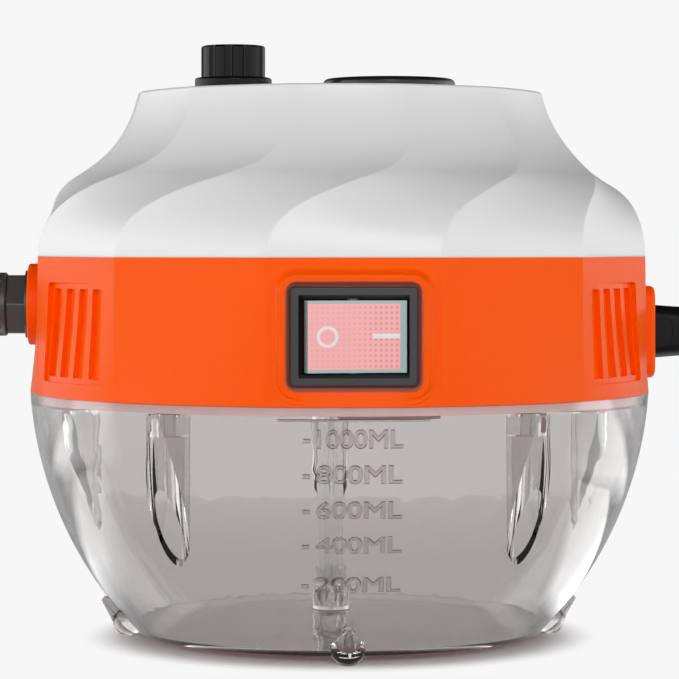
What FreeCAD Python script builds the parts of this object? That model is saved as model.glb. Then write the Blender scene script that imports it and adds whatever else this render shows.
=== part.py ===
import FreeCAD
import Part
import math
import os

from FreeCAD import Vector

# Base unit of a wallpaper steamer: a clear water bowl, a twelve-sided middle housing that carries the
# electrical room, and a cover whose twelve facets swirl up to a round top.
# Millimetres. Z is up, the feet stand on z = 0, the switch faces -Y, the steam outlet points to +X.
# Angles are degrees round the upright axis, counted from the front towards +X.

UP = Vector(0, 0, 1)
OUT = Vector(0, -1, 0)

# Body
body_radius = 89.8
bowl_height = 71.3
housing_height = 39.0
cover_height = 47.3
housing_taper = 0.4
shell_wall = 2.4
fit_gap = 0.3
seat_gap = 0.2
running_gap = 0.05

# Facets of the housing and the cover
facet_count = 12
facet_sag = 0.032
crown_sag = 0.0085
sag_fade = 1.4
swirl_rise = 20.1
swirl_length_below = 8.6
swirl_length_above = 6.7
shoulder_radius = 27.3
neck_radius = 39.2
shoulder_lean = 57.9
crown_edge_radius = 0.9

# Water bowl
bowl_wall = 2.2
bowl_sweep_radius = 109.3
base_radius = 59.1
base_height = 2.2
base_dish = 0.6
base_dish_radius = 47.0
rim_land_height = 3.2
foot_radius = 4.75
foot_circle_radius = 61.3
foot_flat = 0.35
foot_tip_radius = 0.8
foot_tip_reach = 7.6
foot_tip_rise = 6.4

# Screw wells of the bowl, and the bosses on the deck that take their screws
well_count = 5
well_inset = 8.3
well_hole_radius = 4.3
well_wall = 1.5
well_ceiling_height = 62.5
tank_screw_radius = 2.1
screw_boss_radius = 4.2
screw_boss_height = 8.0
pilot_radius = 1.6
screw_seal_radius = 3.3
screw_seal_height = 1.3

# Deck and tank seal
deck_thickness = 3.0
spigot_depth = 2.4
tank_seal_width = 1.6
column_radius = 4.2
column_inset = 14.8
column_angles = (-50.0, 50.0, -128.0, 128.0)
column_height = 33.0
cover_screw_depth = 14.0
lip_height = 3.0
lip_root = 3.0
lip_gap = 0.5
lip_thickness = 1.8

# Blind vent panels beside the switch
vent_angle = 59.0
vent_width = 34.0
vent_height = 27.6
vent_rise = 18.0
vent_corner = 1.2
vent_depth = 0.8
vent_swing = 3.0
slot_count = 4
slot_width = 5.6
slot_pitch = 8.4
slot_height = 24.4
slot_depth = 1.5

# Rocker switch
switch_x = 0.6
switch_rise = 18.35
switch_pad_width = 40.0
switch_pad_height = 33.0
switch_pad_corner = 5.0
switch_pad_lift = 0.9
switch_recess_width = 36.0
switch_recess_height = 28.8
switch_recess_corner = 3.0
switch_recess_depth = 3.2
bezel_width = 33.6
bezel_height = 26.2
bezel_corner = 1.2
bezel_thickness = 2.6
window_width = 29.1
window_height = 21.8
window_throat_height = 19.7
switch_body_width = 30.2
switch_body_height = 22.0
switch_body_depth = 16.0
switch_body_wall = 0.8
rocker_width = 26.2
rocker_height = 18.9
rocker_depth = 9.0
rocker_flare = 0.55
rocker_side_depth = 6.0
rocker_back_width = 21.0
rocker_front_reach = 0.2
rocker_dish = 0.7
rocker_tilt = 7.0
rocker_pin_radius = 1.5
rocker_leg_radius = 1.6
blade_width = 6.3
blade_thickness = 0.8
blade_length = 8.0
blade_spacing_across = 14.0
blade_spacing_up = 12.0
lamp_radius = 1.9
lamp_length = 9.0

# Cable gland at the left
gland_angle = -90.0
gland_rise = 25.1
gland_boss_radius = 11.8
gland_boss_lift = 3.285
gland_thread_radius = 7.9
gland_bore_radius = 5.4
gland_washer_radius = 9.8
gland_washer_thickness = 0.8
gland_hex = 16.8
gland_hex_length = 5.0
gland_hex_edge = 1.0
gland_neck_radius = 7.3
gland_neck_length = 10.6
gland_nut_radius = 9.2
gland_nut_length = 21.5
gland_nut_flutes = 12
gland_mouth_radius = 5.0
gland_nut_wall = 1.5
gland_locknut_hex = 20.0
gland_locknut_length = 4.2
lead_radius = 3.6

# Steam outlet at the right
outlet_angle = 90.0
outlet_rise = 17.1
outlet_pad_width = 24.0
outlet_pad_height = 26.6
outlet_pad_corner = 4.0
outlet_pad_lift = 3.3
outlet_thread_radius = 5.0
outlet_bore_radius = 1.8
outlet_flange_radius = 6.0
outlet_flange_thickness = 1.5
outlet_barb_radius = 2.9
outlet_barb_length = 6.4
outlet_inner_barb_length = 13.0
outlet_nut_hex = 14.0
outlet_nut_length = 3.6
boot_length = 26.9
boot_height = 15.4
boot_width = 14.6
boot_corner = 3.6
boot_mouth_radius = 6.6
boot_collar_length = 8.0
boot_panel_height = 8.8
boot_panel_length = 5.6
boot_panel_depth = 0.5
hose_radius = 4.9
hose_swell = 0.5
hose_grip_gap = 2.0

# Filler neck and its cap
filler_x = 14.5
filler_bore_radius = 13.0
filler_wall = 2.0
filler_flange_width = 3.6
filler_flange_thickness = 2.4
filler_drop = 4.0
filler_seal_height = 1.6
filler_seal_width = 2.4
filler_rim_drop = 0.3
cap_radius = 19.25
cap_height = 4.1
cap_edge_radius = 1.4
cap_grip_radius = 14.2
cap_grip_depth = 1.9
cap_grip_bar = 6.4
cap_pin_radius = 3.0
cap_pin_head = 0.7
cap_pin_head_length = 1.2
stopper_flange = 1.4
stopper_flange_thickness = 1.4
stopper_length = 10.0
stopper_wall = 2.8
stopper_radius = 12.3
cap_seal_width = 2.0
cap_seal_height = 2.4
cap_seal_rise = 1.8

# Steam control
knob_x = -31.0
knob_flange_radius = 11.2
knob_flange_height = 4.4
knob_radius = 9.35
knob_height = 9.3
knob_flutes = 11
knob_flute_radius = 1.5
knob_flute_depth = 0.75
knob_edge = 0.8
shaft_radius = 3.0
shaft_flat = 0.9
bush_radius = 3.5
bush_height = 3.6
pot_radius = 8.3
pot_height = 8.6
pot_leg_length = 5.6
pot_nut_hex = 10.0
pot_nut_height = 2.2
board_length = 36.0
board_width = 30.0
board_thickness = 1.6
board_post_radius = 2.4
relay_length = 14.0
relay_width = 10.0
relay_height = 8.0
connector_length = 12.0
capacitor_radius = 3.0

# Boiler
boiler_length = 84.0
boiler_height = 30.0
boiler_corner = 6.0
boiler_wall_gap = 8.0
boiler_front = 28.8
boiler_lid_thickness = 4.0
boiler_foot_radius = 4.0
boiler_foot_height = 8.0
boiler_foot_inset = 8.0
feed_nipple_inset = 8.0
boiler_pad_height = 2.1
heater_radius = 3.2
heater_spacing = 20.0
heater_tail = 5.0
heater_rise = 10.0
thermostat_radius = 8.0
thermostat_height = 7.0
fuse_radius = 2.0
fuse_length = 12.0
fuse_offset = 18.0
nipple_radius = 2.4
nipple_length = 7.0
nipple_collar = 2.5

# Pump
pump_share = 0.38
pump_start = 0.0
pump_coil_radius = 16.0
pump_coil_length = 26.0
pump_yoke_width = 36.0
pump_yoke_height = 30.0
pump_yoke_thickness = 2.0
pump_core_radius = 6.5
pump_collar_length = 3.0
pump_head_hex = 16.0
pump_head_length = 7.0
pump_stand_height = 5.0
pump_buffer_radius = 4.0

# Water and steam tubes
tube_outer_radius = 3.6
tube_bore_radius = 2.4
suction_boiler_gap = 5.8
suction_filler_gap = 1.8
suction_end_height = 12.0
filter_radius = 5.6
filter_sleeve = 5.0
feed_tube_run = 1.0
feed_tube_rise = 14.0
feed_bend_radius = 9.0
steam_bend_radius = 11.0
steam_tube_wall = 1.5
steam_filler_gap = 1.0
grommet_flange = 1.8
grommet_thickness = 1.6

# Terminal block
terminal_length = 26.0
terminal_width = 14.0
terminal_height = 12.0
terminal_ways = 3

housing_top_radius = body_radius - housing_taper
pump_x = -pump_share * body_radius
well_circle_radius = body_radius - well_inset
column_circle_radius = body_radius - column_inset
deck_low = bowl_height - spigot_depth
deck_top = deck_low + deck_thickness
cover_base = bowl_height + housing_height
top_height = cover_base + cover_height
facet_pitch = 360.0 / facet_count
bowl_rim_inner = body_radius - bowl_wall


def polar(radius, angle, height=0.0):
    """Point at a radius and an angle counted from the front."""
    turn = math.radians(angle)
    return Vector(radius * math.sin(turn), -radius * math.cos(turn), height)


def facing(shape, angle):
    """Turn a shape that was built facing the front so that it faces the given angle."""
    shape.rotate(Vector(0, 0, 0), UP, angle)
    return shape


def disc(radius, low, high, x=0.0, y=0.0):
    """Upright cylinder."""
    return Part.makeCylinder(radius, high - low, Vector(x, y, low))


def sleeve(outer, inner, low, high, x=0.0, y=0.0):
    """Upright tube."""
    return disc(outer, low, high, x, y).cut(disc(inner, low, high, x, y))


def turned(outline, x=0.0, y=0.0):
    """Upright lathe form from (radius, height) points."""
    points = [Vector(x + radius, y, height) for radius, height in outline]
    face = Part.Face(Part.makePolygon(points + points[:1]))
    return face.revolve(Vector(x, y, 0), UP, 360)


def turned_out(outline, height):
    """Lathe form about a level axis at the front, from (distance from the middle, radius) points."""
    points = [Vector(radius, -distance, height) for distance, radius in outline]
    face = Part.Face(Part.makePolygon(points + points[:1]))
    return face.revolve(Vector(0, 0, height), OUT, 360)


def rod_out(radius, start, end, height):
    """Level cylinder at the front, between two distances from the middle."""
    return Part.makeCylinder(radius, end - start, Vector(0, -start, height), OUT)


def hexagon(flats, low, high, x=0.0, y=0.0):
    """Upright hexagonal prism, measured across its flats."""
    corner = flats / math.sqrt(3)
    points = [Vector(x + corner * math.cos(math.radians(60 * i)), y + corner * math.sin(math.radians(60 * i)), low)
              for i in range(6)]
    return Part.Face(Part.makePolygon(points + points[:1])).extrude(UP * (high - low))


def hexagon_out(flats, start, end, height):
    """Level hexagonal prism at the front, with flats above and below."""
    prism = hexagon(flats, 0, end - start)
    prism.rotate(Vector(0, 0, 0), Vector(1, 0, 0), 90)
    prism.translate(Vector(0, -start, height))
    return prism


def rounded_rectangle(width, height, corner, distance, middle):
    """Wire of an upright rectangle with round corners that faces the front."""
    half_width = width / 2 - corner
    half_height = height / 2 - corner
    edges = []
    reach = corner * math.sqrt(0.5)
    corners = ((1, 1), (-1, 1), (-1, -1), (1, -1))
    for i, (side, level) in enumerate(corners):
        centre = Vector(side * half_width, -distance, middle + level * half_height)
        across = centre + Vector(side * corner, 0, 0)
        above = centre + Vector(0, 0, level * corner)
        between = centre + Vector(side * reach, 0, level * reach)
        start, end = (across, above) if side == level else (above, across)
        edges.append(Part.Arc(start, between, end).toShape())
        following = corners[(i + 1) % 4]
        next_centre = Vector(following[0] * half_width, -distance, middle + following[1] * half_height)
        next_start = Vector(following[0] * corner, 0, 0)
        if following[0] != following[1]:
            next_start = Vector(0, 0, following[1] * corner)
        edges.append(Part.makeLine(end, next_centre + next_start))
    return Part.Wire(edges)


def plate_out(width, height, corner, start, end, middle):
    """Round-cornered plate at the front, between two distances from the middle."""
    face = Part.Face(rounded_rectangle(width, height, corner, start, middle))
    return face.extrude(OUT * (end - start))


def block(length, width, low, high, x, y, corner):
    """Upright block with rounded upright edges."""
    solid = Part.makeBox(length, width, high - low, Vector(x - length / 2, y - width / 2, low))
    upright = [e for e in solid.Edges if abs(e.tangentAt(e.FirstParameter).z) > 0.9]
    return solid.makeFillet(corner, upright)


def path_wire(points, bend):
    """Wire through points, with its corners rounded by tangent arcs."""
    edges = []
    start = points[0]
    for before, corner, after in zip(points, points[1:], points[2:]):
        inward = (before - corner).normalize()
        outward = (after - corner).normalize()
        half_turn = inward.getAngle(outward) / 2
        reach = bend / math.tan(half_turn)
        first = corner + inward * reach
        last = corner + outward * reach
        bisector = (inward + outward).normalize()
        middle = corner + bisector * (bend / math.sin(half_turn) - bend)
        if start.distanceToPoint(first) > 1e-6:
            edges.append(Part.makeLine(start, first))
        edges.append(Part.Arc(first, middle, last).toShape())
        start = last
    if start.distanceToPoint(points[-1]) > 1e-6:
        edges.append(Part.makeLine(start, points[-1]))
    return Part.Wire(edges)


def piped(points, bend, radius):
    """Round bar swept along a bent path."""
    path = path_wire(points, bend)
    heading = points[1] - points[0]
    section = Part.Wire(Part.makeCircle(radius, points[0], heading))
    return path.makePipeShell([section], True, True)


def facet_ring(height, corner_radius, sag, twist):
    """Twelve shallow arcs that meet in creases. A sag of zero makes the ring a circle."""
    arcs = []
    for i in range(facet_count):
        left = polar(corner_radius, twist + facet_pitch * (i - 0.5), height)
        middle = polar(corner_radius * (1 - sag), twist + facet_pitch * i, height)
        right = polar(corner_radius, twist + facet_pitch * (i + 0.5), height)
        arcs.append(Part.Arc(left, middle, right).toShape())
    return Part.Wire(arcs)


def faceted(levels):
    """Solid through rings given as (height, corner radius, sag, twist)."""
    return Part.makeLoft([facet_ring(*level) for level in levels], True, False)


def housing_level(height, inset):
    """Ring of the housing: round where it meets the bowl, twelve-sided where it meets the cover."""
    share = min(max((height - bowl_height) / housing_height, 0.0), 1.0)
    radius = body_radius + (housing_top_radius - body_radius) * share
    sag = facet_sag * math.sin(share * math.pi / 2)
    return (height, radius - inset, sag, swirl(cover_base))


def housing_form(inset, low, high):
    """Body of the housing, drawn in by an inset."""
    steps = 5
    return faceted([housing_level(low + (high - low) * i / steps, inset) for i in range(steps + 1)])


def swirl(height):
    """Turn of the creases: from rim to neck they sweep on by one whole facet."""
    middle = cover_base + swirl_rise
    length = swirl_length_below if height < middle else swirl_length_above
    return facet_pitch / 2 * (1 + math.tanh((height - middle) / length))


def cover_radius(height, inset):
    """Corner radius of the cover: a shoulder arc runs into a hollow neck arc where the wall leans most."""
    lean = math.radians(shoulder_lean)
    shoulder_centre = housing_top_radius - shoulder_radius
    neck_centre = shoulder_centre + (shoulder_radius + neck_radius) * math.cos(lean)
    neck_centre_height = cover_base + (shoulder_radius + neck_radius) * math.sin(lean)
    shoulder = shoulder_radius - inset
    if height < cover_base:
        return housing_top_radius - inset
    if height < cover_base + shoulder * math.sin(lean):
        return shoulder_centre + math.sqrt(shoulder ** 2 - (height - cover_base) ** 2)
    return neck_centre - math.sqrt((neck_radius + inset) ** 2 - (height - neck_centre_height) ** 2)


def cover_level(height, inset):
    """Ring of the cover: the facets grow rounder towards the crown while they swirl."""
    share = min(max((height - cover_base) / cover_height, 0.0), 1.0)
    sag = facet_sag + (crown_sag - facet_sag) * share ** sag_fade
    return (height, cover_radius(height, inset), sag, swirl(height))


def cover_form(inset, low, high):
    """Body of the cover, with its walls drawn in by an inset."""
    steps = 18
    return faceted([cover_level(low + (high - low) * i / steps, inset) for i in range(steps + 1)])


def crown_edge():
    """Rounded edge between the cover's neck and its flat top."""
    low = top_height - crown_edge_radius
    radius, sag, twist = cover_level(low, 0.0)[1:]
    levels = []
    for i in range(4):
        turn = math.radians(28.0 * i)
        inward = crown_edge_radius * (1 - math.cos(turn))
        levels.append((low + crown_edge_radius * math.sin(turn), radius - inward, sag, twist))
    last = levels[-1]
    levels[-1] = (top_height, last[1], last[2], last[3])
    return faceted(levels)


def housing_face(angle, rise):
    """Distance from the middle to the housing's outside at an angle and a height above the seam."""
    radius, sag = housing_level(bowl_height + rise, 0.0)[1:3]
    off_middle = (angle + facet_pitch / 2) % facet_pitch - facet_pitch / 2
    share = off_middle / (facet_pitch / 2)
    return radius * (1 - sag * (1 - share ** 2))


def well_angles():
    """The wells are spread evenly, one of them at the back."""
    return [180.0 + 360.0 * i / well_count for i in range(well_count)]


def bowl_form(inset, low, high):
    """Bowl shape of revolution: one large arc from the base to the rim, drawn in by an inset."""
    rim = Vector(body_radius, 0, bowl_height)
    foot = Vector(base_radius, 0, base_height)
    chord = rim - foot
    middle = (rim + foot) * 0.5
    reach = math.sqrt(bowl_sweep_radius ** 2 - (chord.Length / 2) ** 2)
    centre = middle + Vector(-chord.z, 0, chord.x).normalize() * reach
    radius = bowl_sweep_radius - inset

    def on_arc(height):
        return Vector(centre.x + math.sqrt(radius ** 2 - (height - centre.z) ** 2), 0, height)

    bottom = on_arc(low)
    top = on_arc(high)
    arc = Part.Arc(bottom, on_arc((low + high) / 2), top).toShape()
    lines = [Part.makeLine(top, Vector(0, 0, high)),
             Part.makeLine(Vector(0, 0, high), Vector(0, 0, low)),
             Part.makeLine(Vector(0, 0, low), bottom)]
    face = Part.Face(Part.Wire([arc] + lines))
    return face.revolve(Vector(0, 0, 0), UP, 360)


def bowl_inside():
    """Water space of the bowl, with the straight land that takes the spigot."""
    floor = base_height + bowl_wall
    inside = bowl_form(bowl_wall, floor, bowl_height)
    land = disc(bowl_rim_inner, bowl_height - rim_land_height, bowl_height)
    return inside.fuse(land)


def bowl_foot(angle):
    """Drop-shaped foot that runs up the sloping wall and stands on a small flat."""
    centre = polar(foot_circle_radius, angle, foot_radius - foot_flat)
    tip = polar(foot_circle_radius + foot_tip_reach, angle, centre.z + foot_tip_rise)
    along = tip - centre
    drop = Part.makeSphere(foot_radius, centre)
    taper = Part.makeCone(foot_radius, foot_tip_radius, along.Length, centre, along)
    below = disc(body_radius, -body_radius, 0)
    return drop.fuse(taper).cut(below)


def well_top():
    """Top of the wells, just below the deck."""
    return deck_low - seat_gap


def tank_bowl():
    """Clear bowl: thin wall, dished base, four feet, and five wells that rise through the sloping wall."""
    outside = bowl_form(0.0, base_height, bowl_height)
    inside = bowl_inside()
    shell = outside.cut(inside)
    for angle in (0.0, 90.0, 180.0, 270.0):
        shell = shell.fuse(bowl_foot(angle).cut(inside))
    for angle in well_angles():
        spot = polar(well_circle_radius, angle)
        tower = disc(well_hole_radius + well_wall, base_height, well_top(), spot.x, spot.y)
        shell = shell.fuse(tower.common(outside))
    for angle in well_angles():
        spot = polar(well_circle_radius, angle)
        shell = shell.cut(disc(well_hole_radius, -1, well_ceiling_height, spot.x, spot.y))
        shell = shell.cut(disc(tank_screw_radius, well_ceiling_height - 1, well_top() + 1, spot.x, spot.y))
    dish = disc(base_dish_radius, 0, base_height + base_dish)
    return shell.cut(dish).removeSplitter()


def tank_seal():
    """Flat ring stretched round the spigot, against the bowl's rim."""
    return sleeve(bowl_rim_inner, bowl_rim_inner - tank_seal_width, deck_low, bowl_height - seat_gap)


def screw_seals():
    """Small rings that keep water out of the five screw holes."""
    rings = []
    for angle in well_angles():
        spot = polar(well_circle_radius, angle)
        top = well_top() + screw_seal_height
        rings.append(sleeve(screw_seal_radius, tank_screw_radius, well_top(), top, spot.x, spot.y))
    return Part.makeCompound(rings)


def switch_pad_face():
    """Distance from the middle to the flat face around the switch."""
    return housing_face(0.0, switch_rise) + switch_pad_lift


def switch_seat():
    """Distance from the middle to the ledge that the bezel rests on."""
    return switch_pad_face() - switch_recess_depth


def gland_face():
    """Distance from the middle to the flat face of the gland's boss."""
    return housing_face(gland_angle, gland_rise) + gland_boss_lift


def outlet_face():
    """Distance from the middle to the flat face of the outlet's pad."""
    return housing_face(outlet_angle, outlet_rise) + outlet_pad_lift


def inner_face():
    """Distance from the middle to the flat inside faces behind boss and pad."""
    return min(body_radius, housing_top_radius) * (1 - facet_sag) - shell_wall - 0.5


def vent_panel(side):
    """Tools for a shallow panel and its deeper blind slots.

    Their floors follow the facet, swung so that the panel runs out flush at its end beside the switch.
    """
    low = bowl_height + vent_rise - vent_height / 2 - 2
    high = low + vent_height + 4
    middle = bowl_height + vent_rise
    reach = body_radius + 5
    start = body_radius - 15
    panel_floor = facing(housing_form(vent_depth, low, high), side * vent_swing)
    slot_floor = facing(housing_form(vent_depth + slot_depth, low, high), side * vent_swing)
    panel = plate_out(vent_width, vent_height, vent_corner, start, reach, middle)
    panel = facing(panel, side * vent_angle).cut(panel_floor)
    slots = []
    for i in range(slot_count):
        offset = (i - (slot_count - 1) / 2) * slot_pitch
        slot = plate_out(slot_width, slot_height, slot_width / 12, start, reach, middle)
        slot.translate(Vector(offset, 0, 0))
        slots.append(facing(slot, side * vent_angle))
    return [panel, Part.makeCompound(slots).cut(slot_floor)]


def vent_backing(side):
    """Wall that keeps its thickness behind the slots."""
    low = bowl_height + vent_rise - vent_height / 2 - 1
    high = low + vent_height + 2
    start = body_radius - 15
    slab = plate_out(vent_width + 4, vent_height + 2, vent_corner, start, body_radius + 5, bowl_height + vent_rise)
    deep = vent_depth + slot_depth + shell_wall
    body = housing_form(shell_wall / 2, low, high).cut(housing_form(deep, low, high))
    return facing(slab, side * vent_angle).common(body)


def boiler_width():
    """The boiler fills the room between its front line and the wall behind its corners."""
    room = body_radius - shell_wall - boiler_wall_gap
    return math.sqrt(room ** 2 - (boiler_length / 2 - boiler_corner) ** 2) - boiler_front


def boiler_spot():
    """Middle of the boiler."""
    return Vector(0, boiler_front + boiler_width() / 2, 0)


def boiler_foot_spots():
    """Places of the four heat-proof feet."""
    centre = boiler_spot()
    across = boiler_length / 2 - boiler_foot_inset
    deep = boiler_width() / 2 - boiler_foot_inset
    return [(centre.x + i * across, centre.y + j * deep) for i in (-1, 1) for j in (-1, 1)]


def buffer_spots():
    """Places of the pump's two rubber buffers."""
    offset = pump_yoke_width / 2 + pump_buffer_radius
    middle = -(pump_start + pump_end()) / 2
    return [(pump_x - offset, middle), (pump_x + offset, middle)]


def terminal_spot():
    """Middle of the terminal block, near the cable gland and behind the pump."""
    return Vector(-(inner_face() - gland_locknut_length - terminal_width), terminal_length / 2 + seat_gap, 0)


def filler_collar_radius():
    """Outside of the deck's collar that holds the filler tube's seal."""
    return filler_bore_radius + filler_wall + filler_seal_width + 2.0


def grommet_radius():
    """Outside of the flange of the suction tube's grommet."""
    return tube_outer_radius + grommet_thickness + grommet_flange


def suction_spot():
    """Place of the suction tube: in front of the boiler and beside the filler's collar."""
    y = boiler_front - suction_boiler_gap
    reach = filler_collar_radius() + grommet_radius() + suction_filler_gap
    return Vector(filler_x - math.sqrt(max(reach ** 2 - y ** 2, 0)), y, 0)


def at_switch(shape):
    """Move a shape that was built on the front axis over to the switch's axis."""
    shape.translate(Vector(switch_x, 0, 0))
    return shape


def mid_housing():
    """Band with its deck, spigot, bosses, columns, switch pad, vents, gland boss and outlet pad."""
    outside = housing_form(0.0, bowl_height, cover_base)
    room = housing_form(shell_wall, deck_top, cover_base)
    spigot = disc(bowl_rim_inner - tank_seal_width, deck_low, bowl_height)
    body = outside.fuse(spigot)

    body = body.fuse(disc(body_radius * 0.5, deck_low, deck_top)).cut(room)
    for side in (-1, 1):
        body = body.fuse(vent_backing(side))

    # lip that centres the cover
    lip_top = cover_base + lip_height
    sag, twist = cover_level(cover_base, 0.0)[2:]
    lip_outer = housing_top_radius - shell_wall - lip_gap
    root = faceted([(z, housing_top_radius - shell_wall / 2, sag, twist) for z in (cover_base - lip_root, cover_base)])
    tip = faceted([(z, lip_outer, sag, twist) for z in (cover_base - lip_root, lip_top)])
    hollow = faceted([(z, lip_outer - lip_thickness, sag, twist) for z in (cover_base - lip_root, lip_top)])
    body = body.fuse(root.fuse(tip).cut(hollow))

    # flat pad and recess of the switch
    face = switch_pad_face()
    seat = switch_seat()
    middle = bowl_height + switch_rise
    back = seat - shell_wall
    pad = plate_out(switch_pad_width, switch_pad_height, switch_pad_corner, back, face, middle)
    rim = [e for e in pad.Edges if all(abs(v.Y + face) < 1e-6 for v in e.Vertexes)]
    pad = pad.makeFillet(switch_pad_lift * 0.8, rim)
    body = body.fuse(at_switch(pad))
    recess = plate_out(switch_recess_width, switch_recess_height, switch_recess_corner, seat, face + 1, middle)
    opening = plate_out(switch_body_width + fit_gap, switch_body_height + fit_gap, bezel_corner,
                        back - 1, face, middle)
    body = body.cut(at_switch(recess)).cut(at_switch(opening))

    for side in (-1, 1):
        for tool in vent_panel(side):
            body = body.cut(tool)

    # boss of the cable gland
    height = bowl_height + gland_rise
    boss = rod_out(gland_boss_radius, inner_face(), gland_face(), height)
    edge = [e for e in boss.Edges if abs(e.BoundBox.YMin + gland_face()) < 1e-6 and e.BoundBox.YLength < 1e-6]
    boss = boss.makeFillet(0.6, edge)
    body = body.fuse(facing(boss, gland_angle))
    hole = rod_out(gland_thread_radius + running_gap, inner_face() - 2, gland_face() + 1, height)
    body = body.cut(facing(hole, gland_angle))

    # pad of the steam outlet
    height = bowl_height + outlet_rise
    pad = plate_out(outlet_pad_width, outlet_pad_height, outlet_pad_corner, inner_face(), outlet_face(), height)
    rim = [e for e in pad.Edges if all(abs(v.Y + outlet_face()) < 1e-6 for v in e.Vertexes)]
    pad = pad.makeFillet(1.2, rim)
    body = body.fuse(facing(pad, outlet_angle))
    hole = rod_out(outlet_thread_radius + running_gap, inner_face() - 2, outlet_face() + 1, height)
    body = body.cut(facing(hole, outlet_angle))

    # bosses for the tank's screws, and columns that meet the cover
    for angle in well_angles():
        spot = polar(well_circle_radius, angle)
        high = deck_top + screw_boss_height
        body = body.fuse(disc(screw_boss_radius, deck_low + 1, high, spot.x, spot.y))
        body = body.cut(disc(pilot_radius, deck_low - 1, high - 1, spot.x, spot.y))
        pocket_top = well_top() + screw_seal_height + seat_gap
        body = body.cut(disc(screw_seal_radius + 0.1, deck_low - 1, pocket_top, spot.x, spot.y))
    for angle in column_angles:
        spot = polar(column_circle_radius, angle)
        body = body.fuse(disc(column_radius, deck_low + 1, deck_top + column_height, spot.x, spot.y))
        body = body.cut(disc(pilot_radius, deck_low - 1, deck_top + column_height + 1, spot.x, spot.y))
        head = disc(pilot_radius * 2, deck_low - 1, deck_top + column_height / 2, spot.x, spot.y)
        body = body.cut(head)

    # pads on the deck, and the holes through it
    for x, y in boiler_foot_spots():
        body = body.fuse(disc(boiler_foot_radius + 1.5, deck_low + 1, deck_top + boiler_pad_height, x, y))
    body = body.fuse(disc(filler_collar_radius(), deck_low + 1, deck_top + filler_seal_height, filler_x))
    body = body.cut(disc(filler_bore_radius + filler_wall + fit_gap, deck_low - 1, deck_top + 5, filler_x))
    groove = filler_bore_radius + filler_wall + fit_gap + filler_seal_width
    body = body.cut(disc(groove, deck_top, deck_top + 5, filler_x))
    hole = tube_outer_radius + grommet_thickness
    spot = suction_spot()
    body = body.cut(disc(hole, deck_low - 1, deck_top + 1, spot.x, spot.y))
    return body.removeSplitter()


def top_cover():
    """Swirled cover: outer and inner form share one crease line, so the wall keeps its thickness."""
    joint = top_height - crown_edge_radius
    outside = cover_form(0.0, cover_base, joint).fuse(crown_edge())
    inside = cover_form(shell_wall, cover_base - 1, top_height - shell_wall)
    body = outside.cut(inside)

    low = deck_top + column_height + seat_gap
    within = outside.fuse(disc(column_circle_radius + 2 * column_radius, low, cover_base + 1))
    for angle in column_angles:
        spot = polar(column_circle_radius, angle)
        body = body.fuse(disc(column_radius, low, top_height, spot.x, spot.y).common(within))
        body = body.cut(disc(pilot_radius, low - 1, low + cover_screw_depth, spot.x, spot.y))

    # board posts below the crown
    board_top = board_low() + board_thickness
    for y in (-1, 1):
        x = knob_x - board_length / 2 + board_post_radius + 1
        spot_y = y * (board_width / 2 - board_post_radius - 1)
        body = body.fuse(disc(board_post_radius, board_top + seat_gap, top_height - 1, x, spot_y))

    neck = filler_bore_radius + filler_wall + fit_gap
    body = body.cut(disc(neck, cover_base, top_height + 1, filler_x))
    body = body.cut(disc(bush_radius + 0.1, cover_base, top_height + 1, knob_x))
    return body.removeSplitter()


def filler_tube():
    """Neck that leads the water from the crown through the deck into the bowl."""
    bore = filler_bore_radius
    outer = bore + filler_wall
    flange = outer + filler_flange_width
    top = top_height - filler_rim_drop
    under_cover = top_height - shell_wall - seat_gap
    on_deck = deck_top + filler_seal_height
    outline = [(bore, deck_low - filler_drop), (outer, deck_low - filler_drop),
               (outer, on_deck), (flange, on_deck), (flange, on_deck + filler_flange_thickness),
               (outer, on_deck + filler_flange_thickness + filler_flange_width),
               (outer, under_cover - filler_flange_thickness - filler_flange_width),
               (flange, under_cover - filler_flange_thickness), (flange, under_cover),
               (outer, under_cover), (outer, top), (bore, top)]
    return turned(outline, filler_x)


def filler_tube_seal():
    """Ring between the neck's lower flange and the deck."""
    inner = filler_bore_radius + filler_wall + fit_gap
    return sleeve(inner + filler_seal_width - running_gap, inner, deck_top, deck_top + filler_seal_height, filler_x)


def filler_rim():
    """Height of the neck's rim."""
    return top_height - filler_rim_drop


def filler_stopper():
    """Plug under the cap: flange on the rim, grooved skirt, and a hub that the cap's pin turns in."""
    rim = filler_rim() + seat_gap
    flange = filler_bore_radius + stopper_flange
    low = rim - stopper_length
    web = rim + stopper_flange_thickness
    hub = cap_pin_radius + 2.2
    hub_low = low + cap_pin_head_length + 1.0
    groove_low = low + cap_seal_rise
    groove_top = groove_low + cap_seal_height
    groove = filler_bore_radius - running_gap - cap_seal_width
    outline = [(hub, hub_low), (hub, rim - 0.4), (stopper_radius - stopper_wall, rim - 0.4),
               (stopper_radius - stopper_wall, low), (stopper_radius, low),
               (stopper_radius, groove_low), (groove, groove_low), (groove, groove_top),
               (stopper_radius, groove_top), (stopper_radius, rim), (flange, rim), (flange, web),
               (cap_pin_radius + running_gap, web), (cap_pin_radius + running_gap, hub_low)]
    return turned(outline, filler_x)


def filler_cap_seal():
    """Ring in the stopper's groove, against the neck's bore."""
    low = filler_rim() + seat_gap - stopper_length + cap_seal_rise
    outer = filler_bore_radius - running_gap
    return sleeve(outer, outer - cap_seal_width, low, low + cap_seal_height, filler_x)


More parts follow.
